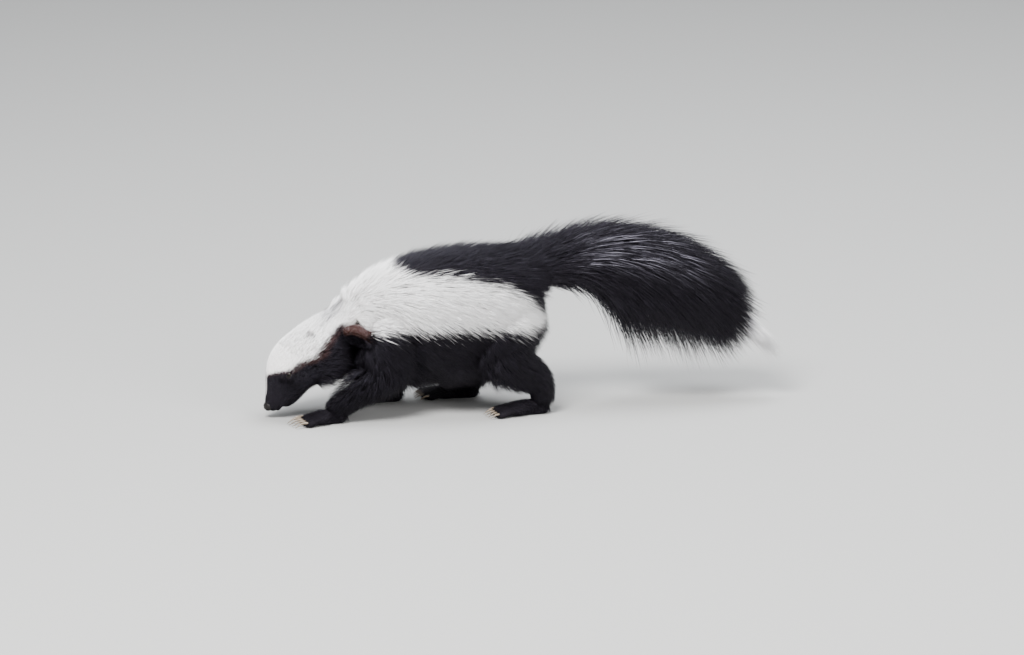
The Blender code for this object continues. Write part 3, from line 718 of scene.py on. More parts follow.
def foot_guides():
    """Guides over the feet, forward to the claws."""
    made = []
    for key in FEET:
        heel, ahead, left = foot_axes(key)
        for share in np.linspace(-0.2, 1.25, 9):
            for off in (-9, -5, 0, 5, 9):
                for high in (2, 8, 13):
                    place = heel + ahead * FEET[key][2] * share + left * off + (0, 0, high)
                    long = np.interp(share, (-0.2, 0.5, 1.25), (6.2, 4.8, 2.8))
                    made.append((place, unit(ahead + (0, 0, -0.35)), long, FOOT_LIFT, PAW_SKIN))
    return made


def ear_guides():
    """Guides over the ears, out to the rim."""
    made = []
    for sign in (-1, 1):
        long_way, out, face = ear_axes(sign)
        for reach in (4, 8):
            for turn in np.linspace(0, 2 * math.pi, 10, endpoint=False):
                off = long_way * math.cos(turn) * 9 + face * math.sin(turn) * 4.5
                place = ear_centre(sign) + off + out * reach
                made.append((place, unit(out - face * 0.2), *EAR_HAIR, EAR_SKIN))
    return made


def tail_guides():
    """Guides that only mark which skin belongs to the tail."""
    made = []
    for x, _, z, radius in smooth_rows([(x, 0.0, z, radius) for x, z, radius in TAIL], 50):
        if x < RUMP_END:
            for turn in np.linspace(0, 2 * math.pi, 10, endpoint=False):
                place = np.array([x, radius * math.sin(turn), z + radius * math.cos(turn)])
                made.append((place, np.array([-1.0, 0.0, 0.0]), 20, 20, TAIL_SKIN))
    return made


guides = trunk_guides() + head_guides() + leg_guides() + foot_guides() + ear_guides() + tail_guides()
guide_flow = np.array([guide[1] for guide in guides])
guide_size = np.array([(guide[2], guide[3]) for guide in guides], float)
guide_region = np.array([guide[4] for guide in guides])
guide_tree = KDTree(len(guides))
for index, guide in enumerate(guides):
    guide_tree.insert(guide[0], index)
guide_tree.balance()
print("guides:", len(guides))

# %% [markdown]
# Combing the skin: every point of it takes a blend of the guides nearest to it, the closest counting
# most. The blend turns a few thousand guides into a lie without steps. The same look-up tells which
# part of the body a point belongs to, so each part can have a coat of its own.

# %% Read the skin and comb it
GUIDE_NEIGHBOURS = 10


def read_skin():
    """Corner places, normals and triangles of the skin, in millimetres."""
    mesh = skin.data
    mesh.calc_loop_triangles()
    places = np.empty(len(mesh.vertices) * 3)
    normals = np.empty(len(mesh.vertices) * 3)
    corners = np.empty(len(mesh.loop_triangles) * 3, int)
    mesh.vertices.foreach_get("co", places)
    mesh.vertices.foreach_get("normal", normals)
    mesh.loop_triangles.foreach_get("vertices", corners)
    return places.reshape(-1, 3) / MM, normals.reshape(-1, 3), corners.reshape(-1, 3)


def comb(places):
    """Flow, length, lift and region at places, blended from the nearest guides."""
    flow = np.zeros((len(places), 3))
    size = np.zeros((len(places), 2))
    region = np.zeros(len(places), int)
    for i, place in enumerate(places):
        near = guide_tree.find_n(place, GUIDE_NEIGHBOURS)
        index = [item[1] for item in near]
        weight = np.array([1.0 / (item[2] + 1.0) ** 2 for item in near])
        flow[i] = weight @ guide_flow[index]
        size[i] = weight @ guide_size[index] / weight.sum()
        region[i] = guide_region[index[0]]
    return unit(flow), size, region


skin_places, skin_normals, skin_corners = read_skin()
skin_flow, skin_size, skin_region = comb(skin_places)
corner_places = skin_places[skin_corners]
edges = corner_places[:, 1] - corner_places[:, 0], corner_places[:, 2] - corner_places[:, 0]
skin_area = np.linalg.norm(np.cross(*edges), axis=1) * 0.5
for k, word in enumerate(REGIONS):
    print(word, "skin", round(skin_area[skin_region[skin_corners[:, 0]] == k].sum() / 100), "square cm")

# %% [markdown]
# Markings. A white cap starts in a point on the forehead, widens to the ears and covers the nape. Behind
# the shoulders a black back splits it into two broad stripes, which run over the flanks and end in
# loose white hair beside the rump. A thin white blaze runs down the nose. Edges are given as turns
# from the top of the body in degrees, at distances along head and trunk.

# %% Markings in body terms
CAP_AT = (22, 25, 31, 38, 42, 51, 57, 64, 76, 88, 98, 103, 110)
CAP_EDGE = (0, 8, 31, 52, 58, 63, 72, 79, 78, 78, 80, 86, 104)
STRIPE_AT = (-30, -24, -15, -4, 9, 21, 35, 54, 71, 88, 99, 104, 109, 114)
STRIPE_TOP = (100, 93, 77, 67, 60, 55, 52, 47, 42, 40, 36, 28, 14, 0)
STRIPE_LOW_AT = (-30, -10, 0, 18, 43, 61, 75, 88, 105, 120, 132)
STRIPE_LOW = (107, 103, 101, 99, 97, 95, 96, 98, 98, 97, 99)
TRUNK_MIDDLE = 88.0
NAPE = (98, 112)
# The blaze runs between two distances behind the nose and has a half width.
BLAZE = (9.0, 27.0, 1.5)
# Painted shade of a parting in the cap's fur, a dark tick: its place and its half size, both behind the
# nose and round the head.
PARTING_SHADE_AT = (76.5, 45)
PARTING_SHADE_HALF = (1.8, 9)
PARTING_SHADE_WHITE = 0.08
CAP_SOFT = 2.0
STRIPE_SOFT = 2.5


def smoothstep(value, low, high):
    """0 below the low value, 1 above the high one, and a soft step between."""
    t = np.clip((value - low) / (high - low), 0.0, 1.0)
    return t * t * (3 - 2 * t)


def whiteness(places, mix):
    """1 where the coat is white and 0 where it is black; mix is how far an edge is moved, in degrees."""
    along, left, over = ((places - NOSE) @ axis for axis in HEAD_AXES)
    head_turn = np.degrees(np.arctan2(np.abs(left), over)) + mix
    edge = np.interp(along, CAP_AT, CAP_EDGE)
    cap = 1 - smoothstep(head_turn, edge - CAP_SOFT, edge + CAP_SOFT)
    cap *= along > CAP_AT[0]
    middle = (BLAZE[0] + BLAZE[1]) * 0.5
    half = BLAZE[2] * np.sqrt(np.clip(1 - ((along - middle) / (BLAZE[1] - middle)) ** 2, 0, 1))
    blaze = 1 - smoothstep(np.abs(left) + np.abs(mix) * 0.12, half * 0.45, half + 0.05)
    blaze *= (half > 0.1) & (over > 0)
    turn = np.degrees(np.arctan2(np.abs(places[:, 1]), places[:, 2] - TRUNK_MIDDLE)) + mix
    x = places[:, 0]
    top = np.interp(x, STRIPE_AT, STRIPE_TOP)
    low = np.interp(x, STRIPE_LOW_AT, STRIPE_LOW)
    over_low = 1 - smoothstep(turn, low - STRIPE_SOFT, low + STRIPE_SOFT)
    stripe = smoothstep(turn, top - STRIPE_SOFT, top + STRIPE_SOFT) * over_low
    stripe = np.where(top < 1, over_low, stripe)
    stripe *= x > STRIPE_AT[0]
    share = smoothstep(along, *NAPE)
    white = np.maximum(cap * (1 - share) + stripe * share, blaze)
    # Painted shade: a dark tick where the cap's fur parts.
    across, round_head = np.abs(along - PARTING_SHADE_AT[0]), np.abs(head_turn - PARTING_SHADE_AT[1])
    parting_shade = (across < PARTING_SHADE_HALF[0]) & (round_head < PARTING_SHADE_HALF[1]) & (left > 0)
    return np.where(parting_shade, PARTING_SHADE_WHITE, white)


print("white share of the skin's points:", round(float(whiteness(skin_places, 0.0).mean()), 3))

# %% [markdown]
# A skunk's hair is only near black and near white, with some rust by the ears, so a few colours do.
# Each tuft also needs a small place on the OFBake map. Roots are laid
# out by where they stand on the body: the distance along their part and the turn round it. An
# automatic unwrap of so many blades would scatter neighbours all over the map.

# %% Colours and the unwrap
rng = np.random.default_rng(SEED)
OFBAKE_PATCH = 0.003
FORE_LIMBS_FROM = 85
BLACK = np.array([0.0050, 0.0040, 0.0052])
WHITE = np.array([0.95, 0.94, 0.93])
RUST = np.array([0.058, 0.025, 0.019])
SKIN_BLACK = np.array([0.0056, 0.0046, 0.0056])
SKIN_WHITE = np.array([0.78, 0.76, 0.74])
# Painted shade: the cool grey of the white hair in the nape's valley between head and shoulders.
NAPE_SHADE_GREY = np.array([0.22, 0.21, 0.26])
EAR_PALE = np.array([0.27, 0.23, 0.22])
# Each region's rectangle on the unwrap: its lowest corner, then its width and height.
ISLANDS = {
    TRUNK_SKIN: (0.02, 0.02, 0.36, 0.54),
    HEAD_SKIN: (0.40, 0.02, 0.28, 0.54),
    LEG_SKIN: (0.02, 0.60, 0.28, 0.38),
    PAW_SKIN: (0.34, 0.60, 0.30, 0.38),
    TAIL_SKIN: (0.70, 0.02, 0.28, 0.54),
    EAR_SKIN: (0.70, 0.60, 0.28, 0.38),
}


def island(region, along, turn):
    """Place on an unwrap of the skin: each region has its own rectangle, length across and turn up it."""
    start, low, wide, high = ISLANDS[region]
    return np.stack([start + wide * np.clip(along, 0, 1), low + high * np.clip(turn, 0, 1)], axis=1)


def unwrap(places, region):
    """Where roots lie on the unwrap, by the distance along their part and the turn round it."""
    along, left, over = ((places - NOSE) @ axis for axis in HEAD_AXES)
    if region == TRUNK_SKIN:
        turn = np.arctan2(places[:, 1], places[:, 2] - TRUNK_MIDDLE)
        return island(region, (places[:, 0] + 30) / 190, turn / (2 * math.pi) + 0.5)
    if region in (HEAD_SKIN, EAR_SKIN):
        return island(region, along / 125, np.arctan2(left, over) / (2 * math.pi) + 0.5)
    turn = np.zeros(len(places))
    for k, (key, rows) in enumerate(LEGS.items()):
        same_end = (places[:, 0] > FORE_LIMBS_FROM) == key.startswith("front")
        mine = same_end & ((places[:, 1] > 0) == key.endswith("left"))
        line = np.array(rows)[::-1]
        ahead = places[mine, 0] - np.interp(places[mine, 2], line[:, 2], line[:, 0])
        beside = places[mine, 1] - np.interp(places[mine, 2], line[:, 2], line[:, 1])
        turn[mine] = 0.25 * k + 0.25 * (np.arctan2(beside, ahead) / (2 * math.pi) + 0.5)
    return island(region, places[:, 2] / 100, turn)


print("islands on the unwrap:", len(ISLANDS))

# %% [markdown]
# A tuft stands for the few guard hairs that stick together. It is a thin closed blade: three-cornered
# rings along a bent middle line, closing in a point, with its root inside the skin. A flat card with a
# picture of hair would be lighter, but it shows as a card from the side and needs a picture. A node
# tree could scatter one blade over the skin, but its copies would all bend alike. Here each tuft has a
# bend of its own, leans on its neighbours and takes its colours from its place, so arrays build it.

# %% The shape of a tuft
BLADE_CORNERS = ((1, -0.12), (-1, -0.12), (0, 0.5))
TAPER_AT = (0, 0.35, 0.75, 1)
TAPER = (0.75, 1.0, 0.6, 0.0)


def tufts(name, root, elbow, tip, face, width, colours, patch, rings=3):
    """One mesh of closed tapering blades; the colours are those of root, middle and tip."""
    count = len(root)
    stops = np.linspace(0.0, 1.0, rings + 1)
    taper = np.interp(stops, TAPER_AT, TAPER)
    places = np.empty((count, rings * 3 + 1, 3))
    shade = np.empty((count, rings * 3 + 1, 4))
    flat = np.empty((count, rings * 3 + 1, 2))
    shade[..., 3] = 1.0
    for k, (stop, wide) in enumerate(zip(stops, taper)):
        line = root * (1 - stop) ** 2 + elbow * 2 * stop * (1 - stop) + tip * stop**2
        way = unit((elbow - root) * (1 - stop) + (tip - elbow) * stop)
        tone = colours[0] * (1 - stop) ** 2 + colours[1] * 2 * stop * (1 - stop) + colours[2] * stop**2
        if k == rings:
            places[:, -1] = tip
            shade[:, -1, :3] = colours[2]
            flat[:, -1] = patch + (0, OFBAKE_PATCH * 0.5)
            break
        side = unit(np.cross(way, face))
        crest = np.cross(side, way)
        half = (width * wide * 0.5)[:, None]
        for i, (a, b) in enumerate(BLADE_CORNERS):
            places[:, 3 * k + i] = line + side * half * a + crest * half * b
            shade[:, 3 * k + i, :3] = tone
            flat[:, 3 * k + i] = patch + (OFBAKE_PATCH * 0.5 * a, OFBAKE_PATCH * (stop - 0.5))
    cells = [(0, 2, 1)]
    for k in range(rings - 1):
        for i in range(3):
            a, b = 3 * k + i, 3 * k + (i + 1) % 3
            cells += [(a, b, b + 3), (a, b + 3, a + 3)]
    last = 3 * (rings - 1)
    cells += [(last + i, last + (i + 1) % 3, rings * 3) for i in range(3)]
    corners = (np.array(cells)[None] + np.arange(count)[:, None, None] * (rings * 3 + 1)).reshape(-1)
    return array_mesh(name, places.reshape(-1, 3), corners, shade.reshape(-1, 4), flat.reshape(-1, 2))


def array_mesh(name, places, corners, shade, flat):
    """A triangle mesh from arrays, with the coat's colours and the OFBake map."""
    mesh = bpy.data.meshes.new(name)
    mesh.vertices.add(len(places))
    mesh.vertices.foreach_set("co", (places * MM).ravel())
    mesh.loops.add(len(corners))
    mesh.loops.foreach_set("vertex_index", corners)
    mesh.polygons.add(len(corners) // 3)
    mesh.polygons.foreach_set("loop_start", np.arange(0, len(corners), 3))
    mesh.update(calc_edges=True)
    mesh.validate()
    layer = mesh.uv_layers.new(name="OFBake")
    layer.uv.foreach_set("vector", flat[corners].ravel())
    tone = mesh.color_attributes.new("coat", "FLOAT_COLOR", "POINT")
    tone.data.foreach_set("color", shade.ravel())
    print(name, "tufts mesh:", len(corners) // 3, "triangles")
    return link(name, mesh)


# %% [markdown]
# Guard hairs stick together in loose locks, so tufts lean towards the nearest leader, and no two have
# quite the same length, turn or shade. Black, white and rust are mixed for each tuft from where it
# stands, which gives edges that fray hair by hair, where a painted skin would show a drawn line.

# %% Locks and shades
# Painted shade in the nape's valley: where it lies behind the nose and round the head, and the share of
# hairs there made dark.
NAPE_SHADE_ALONG = (82, 92, 104, 116)
NAPE_SHADE_TURN = (40, 62)
NAPE_SHADOW_HAIRS = 0.3
UNDER_SHADE = (0.9, 0.88, 0.87)


def gather(root, elbow, tip, leaders, pull, keep=0.35):
    """Tips lean towards the tip of the nearest leader, so hairs stick together in loose locks."""
    tree = KDTree(leaders)
    for i in range(leaders):
        tree.insert(root[i], i)
    tree.balance()
    lead = np.array([tree.find(place)[1] for place in root])
    aim = tip[lead] + (root - root[lead]) * keep
    pull = pull[:, None]
    return elbow + (aim - tip) * pull * 0.3, tip + (aim - tip) * pull


def nape_shade_share(places):
    """How much painted shade falls on the white hair where the bent neck meets the shoulders; it makes
    the lower half of that hair cool grey.
    """
    along, left, over = ((places - NOSE) @ axis for axis in HEAD_AXES)
    turn = np.degrees(np.arctan2(np.abs(left), over))
    start, full, fading, end = NAPE_SHADE_ALONG
    bent = smoothstep(along, start, full) * (1 - smoothstep(along, fading, end))
    return bent * (1 - smoothstep(turn, *NAPE_SHADE_TURN))


def tone_of(white, rust, shaded, region, noise):
    """Root, middle and tip colours of tufts."""
    count = len(white)
    black = BLACK * (0.75 + 1.0 * noise[:, None]) * (1 + 0.12 * rng.normal(size=(count, 1)))
    black = black + (RUST - BLACK) * rust[:, None]
    pale = WHITE * (0.9 + 0.1 * noise[:, None])
    # Painted shade in the nape: a share of the hairs there are made dark, and the white roots cool grey.
    shadow_hair = rng.random(count) < NAPE_SHADOW_HAIRS * shaded
    share = np.where(shadow_hair, 0.12, 1.0)[:, None] * white[:, None]
    tip = black * (1 - share) + pale * share
    root = black * 0.55 * (1 - share) + pale * UNDER_SHADE * share
    root = root + (NAPE_SHADE_GREY - root) * (shaded[:, None] * share)
    if region == EAR_SKIN:
        tip = RUST * (0.5 + 1.2 * noise[:, None])
        tip = np.where(rng.random((count, 1)) < 0.1, EAR_PALE, tip)
        root = tip * 0.6
    middle = root * 0.35 + tip * 0.65
    return np.clip(root, 0, 1), np.clip(middle, 0, 1), np.clip(tip, 0, 1)


# %% [markdown]
# Now the coat is grown. Roots are scattered over the skin, thicker where the hair is short, since long
# hair covers more. Each tuft bends from its root into the lie of the guides, and its tip is kept above
# the floor and inside the width of the frame. One mesh for each part of the body keeps each under the
# limit for a single piece.

# %% Grow a coat over part of the skin
WIDTH_SHARE = (0.14, 0.016)
SIDE_LIMIT = 60.5
FULL_SIDE = 48.0
ROOT_DEPTH = 0.6
ELBOW = (0.42, 0.75)
SAG = 0.05
FLOOR_CLEAR = 0.4
EDGE_MIX = 3.5
RUST_MIX = -13.0


def kept_in(places):
    """Places drawn in softly where they would stand wider than the frame's own coat."""
    reach = np.abs(places[:, 1])
    room = SIDE_LIMIT - FULL_SIDE
    soft = FULL_SIDE + room * np.tanh((reach - FULL_SIDE) / room)
    places[:, 1] = np.where(reach > FULL_SIDE, np.sign(places[:, 1]) * soft, places[:, 1])
    return places


def blended(values, pick, weight):
    """Values of the skin's points, mixed for places inside its triangles."""
    return (values[skin_corners[pick]] * weight).sum(axis=1)


def grow(name, chosen, count, region, width, bunch=11, pull=0.4, scatter=0.12, rings=2, even=1.0):
    """Tufts over the chosen triangles of the skin, following the guides."""
    share = skin_area * chosen / (4.0 + skin_size[skin_corners[:, 0], 0]) ** even
    pick = rng.choice(len(share), size=count, p=share / share.sum())
    a, b = rng.random(count), rng.random(count)
    flip = a + b > 1
    a[flip], b[flip] = 1 - a[flip], 1 - b[flip]
    weight = np.stack([1 - a - b, a, b], axis=1)[:, :, None]
    place, normal = blended(skin_places, pick, weight), unit(blended(skin_normals, pick, weight))
    flow, size = blended(skin_flow, pick, weight), blended(skin_size, pick, weight)
    flow = flow + rng.normal(scale=scatter, size=(count, 3))
    lie = unit(flow - normal * (flow * normal).sum(axis=1, keepdims=True))
    noise = rng.random(count)
    long = size[:, :1] * (0.82 + 0.3 * rng.random((count, 1)))
    lift = np.radians(size[:, 1:] * (0.75 + 0.5 * rng.random((count, 1))))
    root = place - normal * np.minimum(ROOT_DEPTH, long * 0.15)
    tip = place + lie * long * np.cos(lift) + normal * long * np.sin(lift)
    tip[:, 2] -= long[:, 0] * SAG
    elbow = place + lie * long * ELBOW[0] + normal * long * np.sin(lift) * ELBOW[1]
    pulls = pull * (0.5 + 0.8 * rng.random(count))
    elbow, tip = gather(root, elbow, tip, max(2, count // bunch), pulls)
    elbow, tip = kept_in(elbow), kept_in(tip)
    low = FLOOR_CLEAR + rng.random(count)
    tip[:, 2] = np.maximum(tip[:, 2], low)
    elbow[:, 2] = np.maximum(elbow[:, 2], low)
    white = whiteness(place * 0.35 + tip * 0.65, rng.normal(scale=EDGE_MIX, size=count))
    wide = width * (WIDTH_SHARE[0] + WIDTH_SHARE[1] * long[:, 0]) * (0.75 + 0.5 * rng.random(count))
    rust = np.zeros(count)
    if region in (HEAD_SKIN, EAR_SKIN):
        wider = whiteness(place * 0.5 + tip * 0.5, np.full(count, RUST_MIX))
        rust = (wider - white).clip(0, 1) * rng.uniform(0.1, 1.0, count)
    colours = tone_of(white, rust, nape_shade_share(place), region, noise)
    return tufts(name, root, elbow, tip, normal, wide, colours, unwrap(place, region), rings)


def skin_in(region, low=None, high=None):
    """Which triangles of the skin belong to a region, between two bounds along the body."""
    middle = skin_places[skin_corners].mean(axis=1)[:, 0]
    chosen = skin_region[skin_corners[:, 0]] == region
    if low is not None:
        chosen &= middle >= low
    if high is not None:
        chosen &= middle < high
    return chosen.astype(float)


body_skin = skin_area[skin_region[skin_corners[:, 0]] < LEG_SKIN].sum()
print("square mm of skin on trunk and head:", round(float(body_skin)))

# %% [markdown]
# The numbers below give enough tufts that hardly any skin shows between them. Short
# hair on face, ears and paws needs only one ring for each tuft, which leaves triangles for the long
# coat. Left and right halves are grown apart, so no single mesh gets too large.

# %% Grow the coats of body, head and limbs
RUMP_TO = 52
FACE_TO = 50.0
middles = skin_places[skin_corners].mean(axis=1)
left = middles[:, 1] > 0
face = (middles - NOSE) @ HEAD_BACK < FACE_TO
coats = []
for side, half in (("left", left), ("right", ~left)):
    rump = skin_in(TRUNK_SKIN, high=RUMP_TO) * half
    flank = skin_in(TRUNK_SKIN, low=RUMP_TO) * half
    coats.append(grow(f"coat_rump_{side}", rump, 14000, TRUNK_SKIN, 1.05))
    coats.append(grow(f"coat_flank_{side}", flank, 15500, TRUNK_SKIN, 1.05))
head = skin_in(HEAD_SKIN)
coats.append(grow("coat_head", head * ~face, 16000, HEAD_SKIN, 1.05, bunch=9, pull=0.36))
coats.append(grow("coat_face", head * face, 38000, HEAD_SKIN, 1.2, bunch=8, pull=0.25, rings=1))
legs, paws, ears = skin_in(LEG_SKIN), skin_in(PAW_SKIN), skin_in(EAR_SKIN)
coats.append(grow("coat_legs", legs, 16000, LEG_SKIN, 1.25, bunch=9, pull=0.36, even=1.8))
coats.append(grow("coat_paws", paws, 24000, PAW_SKIN, 2.2, bunch=7, pull=0.15, rings=1))
coats.append(grow("coat_ears", ears, 8000, EAR_SKIN, 1.1, bunch=6, pull=0.2, scatter=0.2, rings=1))

# %% [markdown]
# The tail is a plume: a slim bony core with hair two to three times as long as on the back. On top
# the hair lies back and sweeps over, below it falls in a loose fringe, and at the end it droops. Length
# and slope are read from rows for top and underside, so the plume's outline can be set like a drawing.

# %% Grow the tail
TAIL_STOPS = (0.0, 0.14, 0.25, 0.35, 0.43, 0.6, 0.78, 0.9, 1.0)
TAIL_LONG_TOP = (54, 53, 58, 61, 63, 65, 68, 71, 73)
TAIL_LONG_BELOW = (24, 28, 48, 84, 108, 116, 110, 101, 92)
TAIL_SLOPE_TOP = (46, 43, 35, 24, 13, -4, -17, -26, -35)
TAIL_SLOPE_BELOW = (-5, -10, -30, -54, -63, -66, -64, -61, -56)
TAIL_SPREAD = 0.4
TAIL_BUNCH = 14
TAIL_WIDTH = 0.76
TAIL_STEPS = 240
# Above the full height tips are drawn in softly towards the limit.
TAIL_FULL_HEIGHT = 165.0
TAIL_TOP_LIMIT = 174.0
# Grey streaks lie in the middle of the plume's sides, from the first distance to the last. They are
# partly the pale bases of the tail's hair and partly painted highlight.
TAIL_PALE_AND_SHEEN = np.array([0.40, 0.38, 0.45])
TAIL_PALE_AND_SHEEN_BACK = (36, 62, 130, 172)
TAIL_PALE_AND_SHEEN_SHARE = 0.36
tail_line = smooth_rows([(x, 0.0, z, radius) for x, z, radius in TAIL], TAIL_STEPS + 1)
tail_ways = unit(np.gradient(tail_line[:, :3], axis=0))


def tail_mix(t, under, top, below):
    """A value between the rows for the tail's top and its underside."""
    return np.interp(t, TAIL_STOPS, top) * (1 - under) + np.interp(t, TAIL_STOPS, below) * under


def pale_base_and_sheen(centre, count):
    """How much pale base and painted highlight each tuft of the tail gets, from the middle of the tuft.
    """
    over = centre[:, 2] - np.interp(-centre[:, 0], -tail_line[:, 0], tail_line[:, 2])
    start, full, fading, end = TAIL_PALE_AND_SHEEN_BACK
    base_and_sheen_share = smoothstep(-centre[:, 0], start, full) * (1 - smoothstep(-centre[:, 0], fading, end))
    beside = smoothstep(np.abs(centre[:, 1]), 5, 13) * smoothstep(over, -18, -2)
    base_and_sheen_share *= beside * (1 - smoothstep(over, 12, 24))
    return (base_and_sheen_share * (rng.random(count) < TAIL_PALE_AND_SHEEN_SHARE) * rng.random(count))[:, None]


def tail_coat(name, count, low, high):
    """Long tufts of the tail between two stops along it."""
    t = rng.uniform(low, high, count)
    angle = rng.uniform(-math.pi, math.pi, count) * np.interp(t, (0.1, 0.2), (0.55, 1.0))
    k = np.clip((t * TAIL_STEPS).astype(int), 0, TAIL_STEPS)
    side = np.array([0.0, 1.0, 0.0])
    up = unit(np.cross(side, tail_ways[k]))
    out = up * np.cos(angle)[:, None] + side * np.sin(angle)[:, None]
    under = 0.5 - 0.5 * np.cos(angle)
    long = tail_mix(t, under, TAIL_LONG_TOP, TAIL_LONG_BELOW) * (0.62 + 0.44 * rng.random(count) ** 0.65)
    slope = tail_mix(t, under, TAIL_SLOPE_TOP, TAIL_SLOPE_BELOW)
    slope = np.radians(slope + rng.normal(scale=7, size=count))
    spread = np.sin(angle) * TAIL_SPREAD + rng.normal(scale=0.05, size=count)
    chord = unit(np.stack([-np.cos(slope), spread, np.sin(slope)], axis=1))
    root = tail_line[k, :3] + out * (tail_line[k, 3] - 1.0)[:, None]
    lean = chord * 0.36 + tail_ways[k] * 0.1 + out * (0.18 - 0.06 * under)[:, None]
    elbow = root + lean * long[:, None] + rng.normal(scale=1.2, size=(count, 3))
    tip = root + chord * long[:, None]
    pulls = 0.42 * (0.3 + 1.2 * rng.random(count))
    elbow, tip = gather(root, elbow, tip, count // TAIL_BUNCH, pulls, 0.6)
    room = TAIL_TOP_LIMIT - TAIL_FULL_HEIGHT
    soft = TAIL_FULL_HEIGHT + room * np.tanh((tip[:, 2] - TAIL_FULL_HEIGHT) / room)
    tip[:, 2] = np.where(tip[:, 2] > TAIL_FULL_HEIGHT, soft, tip[:, 2])
    noise = rng.random(count)
    black = BLACK * (0.7 + 1.1 * noise[:, None])
    # Pale hair bases and painted highlight: grey on the tuft's root and middle, while its tip stays
    # black.
    base_and_sheen_share = pale_base_and_sheen((root + tip) * 0.25 + elbow * 0.5, count)
    middle = black * (1 - base_and_sheen_share) + TAIL_PALE_AND_SHEEN * base_and_sheen_share
    colours = (middle, middle, black * 0.9)
    patch = island(TAIL_SKIN, t, angle / (2 * math.pi) + 0.5)
    wide = TAIL_WIDTH * (0.7 + 0.6 * rng.random(count))
    return tufts(name, root, elbow, tip, out, wide, colours, patch, 3)


coats.append(tail_coat("coat_tail_root", 7500, 0.0, 0.42))
coats.append(tail_coat("coat_tail_middle", 8000, 0.42, 0.78))
coats.append(tail_coat("coat_tail_end", 6000, 0.78, 1.0))

# %% [markdown]
# The very tip of the tail carries one thin wisp of long white hair. It runs out of the black plume at
# its lower end, as the photo shows it. It ends a little sooner here, so that it stays by the frame's
# box. It gets five rings for each hair, since it is seen alone against the floor.

# %% Add the white wisp
WISP_HAIRS = 620
WISP_LONG = 120.0
WISP_SLOPE = -45.0
WISP_SPREAD = 0.24
WISP_END = -248.0
WISP_TONES = ((0.25, 0.24, 0.27), (0.8, 0.78, 0.8), (1.0, 0.99, 0.99))


def tail_wisp():
    """Long white hairs from the tail's last bone, lying close together."""
    count = WISP_HAIRS
    back = rng.random(count)
    root = tail_line[-1, :3] + back[:, None] * (7.0, 0.0, 4.5) + rng.normal(scale=0.9, size=(count, 3))
    slope = np.radians(WISP_SLOPE + rng.normal(scale=1.9, size=count))
    spread = WISP_SPREAD + rng.normal(scale=0.04, size=count)
    chord = unit(np.stack([-np.cos(slope), spread, np.sin(slope)], axis=1))
    long = WISP_LONG * (0.8 + 0.2 * rng.random(count) ** 0.8)
    tip = root + chord * long[:, None]
    tip[:, 0] = np.maximum(tip[:, 0], WISP_END + 3.0 * rng.random(count))
    elbow = root + chord * long[:, None] * 0.5 + np.array([0.0, 0.0, 3.5])
    elbow = elbow + rng.normal(scale=1.0, size=(count, 3))
    face = np.tile(unit([-0.6, 0.5, 0.6]), (count, 1))
    shade = (0.82 + 0.15 * rng.random(count))[:, None]
    colours = tuple(np.clip(np.array(tone) * shade, 0, 1) for tone in WISP_TONES)
    patch = island(TAIL_SKIN, 0.985 + 0.015 * back, rng.random(count))
    wide = 0.85 * (0.7 + 0.6 * rng.random(count))
    return tufts("coat_tail_tip", root, elbow, tip, face, wide, colours, patch, 5)


coats.append(tail_wisp())

# %% [markdown]
# Eyes, nose and claws stay separate pieces, as a taxidermist sets glass eyes and keeps the real claws.
# The eye is a dark wet ball with a pupil hardly darker than its iris. Both are painted on the points of
# one fine ball by their angle from the way it looks, which needs no picture.

# %% Eyes
PUPIL_ANGLE = 17
IRIS_ANGLE = 52
PUPIL_TONE = np.array([0.0015] * 3)
IRIS_TONE = np.array([0.007, 0.0042, 0.003])
EYE_RIM_TONE = np.array([0.012, 0.009, 0.009])


def paint_points(made, colours):
    """A colour for each vertex."""
    tone = made.data.color_attributes.new("coat", "FLOAT_COLOR", "POINT")
    full = np.ones((len(colours), 4))
    full[:, :3] = colours
    tone.data.foreach_set("color", full.ravel())


def places_of(made):
    """Vertex places in millimetres."""
    places = np.empty(len(made.data.vertices) * 3)
    made.data.vertices.foreach_get("co", places)
    return places.reshape(-1, 3) / MM


def smooth(made):
    """Smooth shading on every face."""
    made.data.polygons.foreach_set("use_smooth", np.ones(len(made.data.polygons), bool))


eyes = []
for word in EYES:
    out = eye_frame(word)[0]
    eye = ball("eyeball_" + word, EYES[word], EYE_RADIUS, detail=6)
    turn = np.degrees(np.arccos(np.clip(unit(places_of(eye) - EYES[word]) @ out, -1, 1)))[:, None]
    tone = np.where(turn < PUPIL_ANGLE, PUPIL_TONE, np.where(turn < IRIS_ANGLE, IRIS_TONE, EYE_RIM_TONE))
    paint_points(eye, tone)
    smooth(eye)
    eyes.append(eye)
print("eyes:", [eye.name for eye in eyes], "faces each:", len(eyes[0].data.polygons))

# %% [markdown]
# The nose is a pebbled pad with two nostrils that open to the sides. Each nostril is a short flaring
# tube cut from the pad, so there is a real hollow that darkens by itself in any light.

# %% Nose
nose = ball("nose_pad", nose_at, NOSE_PAD, HEAD_AXES, detail=6)
for sign in (-1, 1):
    opening = nose_at - HEAD_BACK * 3.4 + HEAD_SIDE * sign * 3.0 - HEAD_UP * 0.4
    drill = unit(-HEAD_BACK * 0.8 + HEAD_SIDE * sign * 0.6)
    rows = [(*(opening - drill * 1.5), 0.9), (*opening, 1.15), (*(opening + drill * 4), 1.7)]
    boolean(nose, tube("nostril", rows, sides=10), "DIFFERENCE")
smooth(nose)
print("nose faces:", len(nose.data.polygons))

# %% [markdown]
# A skunk digs for its food, so the claws of the fore feet are long and little curved; those behind are
# short. A claw leaves its toe forward and comes down to the floor at the place of the frame's claw.

